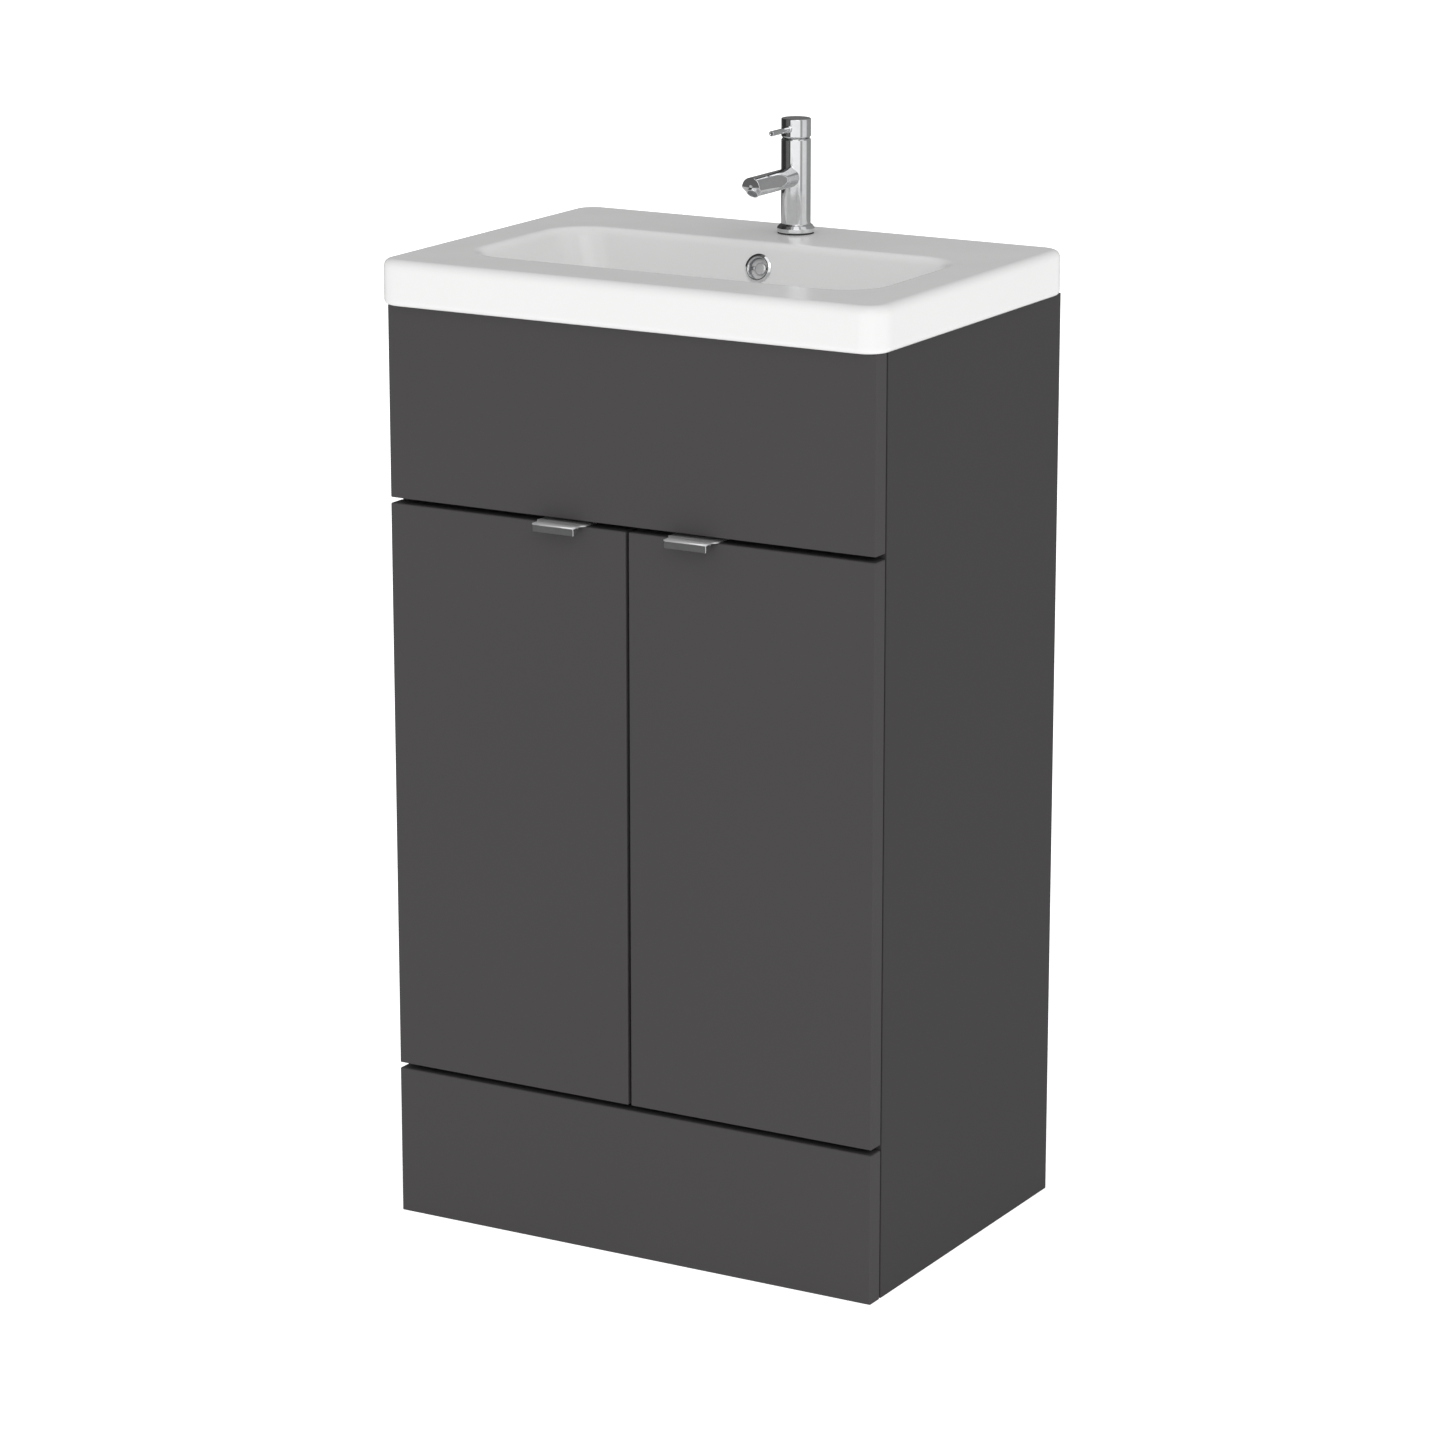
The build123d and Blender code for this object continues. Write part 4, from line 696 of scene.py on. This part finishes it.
# %% Overflow duct and channel
def soft_box(low, high, bevel, front_lean=0.0, plan_corner=4.0):
    """A soft-edged box between two corners in millimetres: rounded outlines stacked along z. The front
    moves back by front_lean from bottom to top."""
    (low_x, low_y, low_z), (high_x, high_y, high_z) = low, high
    lift = np.linspace(0, pi / 2, 5)
    insets = np.concatenate([[(high_x - low_x) * 0.25, bevel * 1.2], bevel * (1 - np.sin(lift))])
    rises = np.concatenate([[0, 0], bevel * (1 - np.cos(lift))])
    made = []
    for inset, z in [*zip(insets, low_z + rises), *zip(insets[::-1], high_z - rises[::-1])]:
        front = low_y + front_lean * (z - low_z) / (high_z - low_z)
        half_x = (high_x - low_x) / 2 - inset
        half_y = max((high_y - front) / 2 - inset, 0.5)
        corner = min(max(plan_corner - inset, 0.4), half_y)
        made.append(outline(half_x, half_y, corner, (front + high_y) / 2, z))
    return np.array(made) * MM


DUCT_LOW, DUCT_HIGH, DUCT_LEAN = (-26, 44.5, 773), (26, 90, 891.5), 29.5
CHANNEL_LOW, CHANNEL_HIGH = (-16, -22, 772.5), (16, 52, 791)
CLAY_EDGE = 3
duct_rings = soft_box(DUCT_LOW, DUCT_HIGH, CLAY_EDGE, DUCT_LEAN)
channel_rings = soft_box(CHANNEL_LOW, CHANNEL_HIGH, CLAY_EDGE)
skin("overflow_duct", duct_rings, "ceramic", "cabinet", stands_for=["basin"])
skin("overflow_channel", channel_rings, "ceramic", "cabinet", stands_for=["basin"])

# %% [markdown]
# ## The overflow trim
#
# A chrome ring lines the overflow hole, turned about the hole's axis. Only its face is plated; the sleeve
# behind it wears a dark grey plastic finish as painted shade, standing in for the shadow deep in the hole, so
# the hole looks dark. Inside, a small disc on two lugs holds it to the clay.

# %% Overflow ring, sleeve, disc and lugs
trim_line = eased([(10, -1.8), (11.4, -1.8), (13.5, -0.7), (13.5, 0.0), (10.9, 0.0), (10.9, 0.6), (10, 0.6)],
                  [0.5, 0.9, 0.5, 0.1, 0.1, 0.1, 0.1], closed=True)
skin("overflow_trim", turned_rings(trim_line, overflow_at * MM, into_wall), "chrome", "cabinet", closed=True,
     stands_for=["overflow_ring"])
# The sleeve's dark grey is painted shade for the deep, shadowed hole behind the trim.
sleeve_line = eased([(10.1, 0.6), (10.9, 0.6), (10.9, 12), (10.1, 12)], [0.1] * 4, closed=True)
skin("overflow_shade_sleeve", turned_rings(sleeve_line, overflow_at * MM, into_wall), "chrome", "cabinet",
     closed=True, stands_for=["overflow_ring"], look="aerator")
disc_line = eased([(0.4, 3.0), (4.4, 3.2), (5.8, 4.0), (5.8, 5.6), (0.4, 5.6)], [0, 1.5, 0.6, 0.3, 0])
skin("overflow_disc", turned_rings(disc_line, overflow_at * MM, into_wall, 48), "chrome", "cabinet",
     stands_for=["overflow_ring"], look="satin_plate")
lug_across = np.array([1.0, 0.0, 0.0])
lug_up = np.cross(into_wall, lug_across)
lug_line = eased([(-10.3, 1.5), (10.3, 1.5), (10.3, -1.5), (-10.3, -1.5)], [0.3] * 4, closed=True)
lug_flat = lug_line[:, :1] * lug_across + lug_line[:, 1:] * lug_up
lug_steps = ((3.9, 0.5), (3.9, 0.97), (4.1, 1), (5.3, 1), (5.5, 0.97), (5.5, 0.5))
lug_rings = np.array([overflow_at + sunk * into_wall + lug_flat * share for sunk, share in lug_steps])
skin("overflow_lugs", lug_rings * MM, "chrome", "cabinet", stands_for=["overflow_ring"])

# %% [markdown]
# ## The plug
#
# The click plug is a chrome dome on a stem. Turning a rounded profile gives the crisp edge with a soft
# crown.

# %% Plug
plug_line = eased(
    [(0.4, 744.6), (4, 744.6), (4, 795), (16.5, 795), (17, 797), (17, 801), (26.5, 801), (29.4, 802.4),
     (29.4, 804.4), (27, 806), (14, 807.2), (0.4, 807.5)],
    [0, 0.5, 0.3, 0.5, 0.5, 0.4, 0.8, 0.6, 0.8, 3, 20, 0])
skin("plug_dome", turned_rings(plug_line, (0, WASTE_MIDDLE[1] * MM, 0), (0, 0, 1), 96), "chrome", "plug",
     stands_for=["waste_plug"])

# %% [markdown]
# ## The tap
#
# The mixer is turned from brass and chromed: a stepped foot, a plain column and a cap on top, parted by a
# V-groove. The column and cap are turned profiles. The spout is a tube whose end is upright above its middle
# and cut back at 45 degrees below, so the distance of each point of the end is max(0, -height) from the tip.

# %% Column and cap
TAP_BACK = 0.137
TAP_AXIS = (0, TAP_BACK, 0)
column_line = eased(
    [(2, 907.5), (17.1, 907.5), (17.5, 908.2), (17.5, 911.2), (15.6, 913.8), (14.5, 914.4), (13.75, 915.2),
     (13.75, 992.9), (12.65, 994.3), (11.5, 994.3), (11.5, 971), (2, 971)],
    [0, 0.3, 0.3, 0.5, 0.7, 0.4, 0.5, 0.25, 0.2, 0.2, 0.2, 0])
skin("mixer_column", turned_rings(column_line, TAP_AXIS, (0, 0, 1), 96), "chrome", "cabinet",
     stands_for=["tap_body"])
cap_line = eased(
    [(2, 1006.5), (10.8, 1006.5), (10.8, 994.9), (12.65, 994.9), (13.75, 996.3), (13.75, 1012.5),
     (2, 1012.5)],
    [0, 0.2, 0.2, 0.2, 0.25, 0.8, 0])
skin("mixer_cap", turned_rings(cap_line, TAP_AXIS, (0, 0, 1), 96), "chrome", "mixer_lift",
     stands_for=["tap_cap"])

# %% [markdown]
# The spout's rings run from the middle of its end face, over a small eased edge, and along the tube into the
# column. The slant is dropped once the rings are past it.

# %% Spout
SPOUT_HEIGHT, SPOUT_RADIUS, SPOUT_TIP, TIP_EDGE = 959.0, 9.25, 52.0, 0.4
round_angle = np.linspace(0, 2 * pi, 120, endpoint=False) + pi / 120
spout_x, spout_z = np.cos(round_angle), np.sin(round_angle)


def spout_ring(radius, back, cut):
    """A ring of the spout, back millimetres behind its end. cut 1 follows the slant and 0 ignores it."""
    y = SPOUT_TIP + back + cut * np.maximum(0.0, -radius * spout_z)
    y = np.broadcast_to(y, spout_x.shape)
    return np.stack([radius * spout_x, y, SPOUT_HEIGHT + radius * spout_z], -1)


end_ease = np.linspace(0, pi / 2, 5)
spout_rings = [spout_ring(r, 0, 1) for r in (0.5, 3, 6, 8.4)]
for a in end_ease:
    spout_rings.append(spout_ring(SPOUT_RADIUS - TIP_EDGE * (1 - sin(a)), TIP_EDGE * (1 - cos(a)), 1))
spout_rings += [spout_ring(SPOUT_RADIUS, back, 1) for back in (0.8, 4)]
spout_rings += [spout_ring(SPOUT_RADIUS, back, 0) for back in (16, 40, 80)]
skin("mixer_spout", np.array(spout_rings) * MM, "chrome", "cabinet", stands_for=["tap_body"])

# %% [markdown]
# The water leaves square to the slanted cut, through a chrome ring round the aerator. The lever is a thin pin
# with a collar at the cap and a shallow dimple in its tip.

# %% Nozzle ring and lever
LEVER_LEVEL = 1.0035
outflow = np.array([0.0, -1.0, -1.0]) / np.sqrt(2)
nozzle_at = np.array([0.0, SPOUT_TIP + SPOUT_RADIUS / 2, SPOUT_HEIGHT - SPOUT_RADIUS / 2])
nozzle_line = eased([(4.75, 2.0), (6.1, 2.0), (6.1, -1.0), (4.75, -1.0)], [0.3, 0.5, 0.1, 0.1], closed=True)
skin("nozzle_ring", turned_rings(nozzle_line, nozzle_at * MM, outflow, 64), "chrome", "cabinet", closed=True)
lever_line = eased(
    [(0.3, 10.9), (2.5, 10.9), (2.5, 12.6), (3.3, 12.8), (3.3, 15.4), (2.5, 15.9), (2.5, 47), (1.6, 47),
     (1.4, 46.2), (0.3, 46.2)],
    [0, 0.1, 0.1, 0.2, 0.5, 0.3, 0.45, 0.15, 0.15, 0])
lever_rings = turned_rings(lever_line, (0, TAP_BACK, LEVER_LEVEL), (0, -1, 0), 48)
skin("mixer_lever", lever_rings, "chrome", "mixer_lift", stands_for=["tap_lever"])

# %% [markdown]
# ## The door pulls
#
# Each pull is a bent satin strip over the door's top edge, with a thick chrome lip in front and a leg down
# the back. The strip is carried along its bent path: every station is a thin rounded rectangle across the
# strip. It flares from the lip's width to its full width over the door. The lip is a soft-edged bar.

# %% Strip and lip
PULL_MIDDLE, LIP_WIDTH, FLARE_WIDTH, THICK = 68.0, 43.0, 51.0, 1.6
PULL_FRONT, LIP_BACK, STRIP_BACK, STRIP_LEVEL, LEG_FOOT = -185.0, -175.5, -151.3, 682.3, 661.6
FLARE_FROM, FLARE_TO = -175.0, -170.0
bent = [(PULL_FRONT, STRIP_LEVEL), (STRIP_BACK, STRIP_LEVEL), (STRIP_BACK, LEG_FOOT)]
bent = eased(bent, [0, 1.0, 0], arc_steps=9)
flare_y = np.array([FLARE_FROM - 1, FLARE_FROM, (FLARE_FROM + FLARE_TO) / 2, FLARE_TO, FLARE_TO + 1])
strip_path = np.vstack([bent[:1], np.column_stack([flare_y, np.full(len(flare_y), STRIP_LEVEL)]), bent[1:]])
forward = np.gradient(strip_path, axis=0)
forward /= np.linalg.norm(forward, axis=1)[:, None]
across = np.column_stack([-forward[:, 1], forward[:, 0]])
half_width = np.interp(strip_path[:, 0], [FLARE_FROM, FLARE_TO], [LIP_WIDTH / 2, FLARE_WIDTH / 2])


def strip_rings(middle):
    """Stations along the bent path. At each, x = middle + share * half width, and the thickness is set off
    along the path's normal; the side edges are eased by a few tenths of a millimetre."""
    share = np.array([-1, -1, -0.985, -0.97, 0.97, 0.985, 1, 1, 0.985, 0.97, -0.97, -0.985])
    lift = np.array([-0.3, 0.3, 0.5, 0.5, 0.5, 0.5, 0.3, -0.3, -0.5, -0.5, -0.5, -0.5])
    x = middle + share * half_width[:, None]
    y = strip_path[:, :1] + across[:, :1] * lift * THICK
    z = strip_path[:, 1:] + across[:, 1:] * lift * THICK
    return np.stack([x, y, z], -1)


LIP_TALL, LIP_LEVEL, LIP_EASE, LIP_CORNER = 6.5, 678.25, 0.45, 1.2


def lip_rings(middle):
    """The lip: outlines in the x-z plane stacked from front to back, eased at both ends."""
    lift = np.linspace(0, pi / 2, 5)
    insets = np.concatenate([[3.0, LIP_EASE * 1.15], LIP_EASE * (1 - np.sin(lift))])
    backs = np.concatenate([[0, 0], LIP_EASE * (1 - np.cos(lift))])
    made = []
    for inset, y in [*zip(insets, PULL_FRONT + backs), *zip(insets[::-1], LIP_BACK - backs[::-1])]:
        corner = max(LIP_CORNER - inset, 0.15)
        face = outline(LIP_WIDTH / 2 - inset, LIP_TALL / 2 - inset, corner, 0, 0)
        made.append(np.column_stack([middle + face[:, 0], np.full(len(turn), y), LIP_LEVEL + face[:, 1]]))
    return np.array(made)


for side, name in ((-1, "left"), (1, "right")):
    skin(f"pull_strip_{name}", strip_rings(side * PULL_MIDDLE) * MM, "chrome", f"door_{name}",
         stands_for=[f"pull_{name}"], look="satin_plate")
    skin(f"pull_lip_{name}", lip_rings(side * PULL_MIDDLE) * MM, "chrome", f"door_{name}",
         stands_for=[f"pull_{name}"])
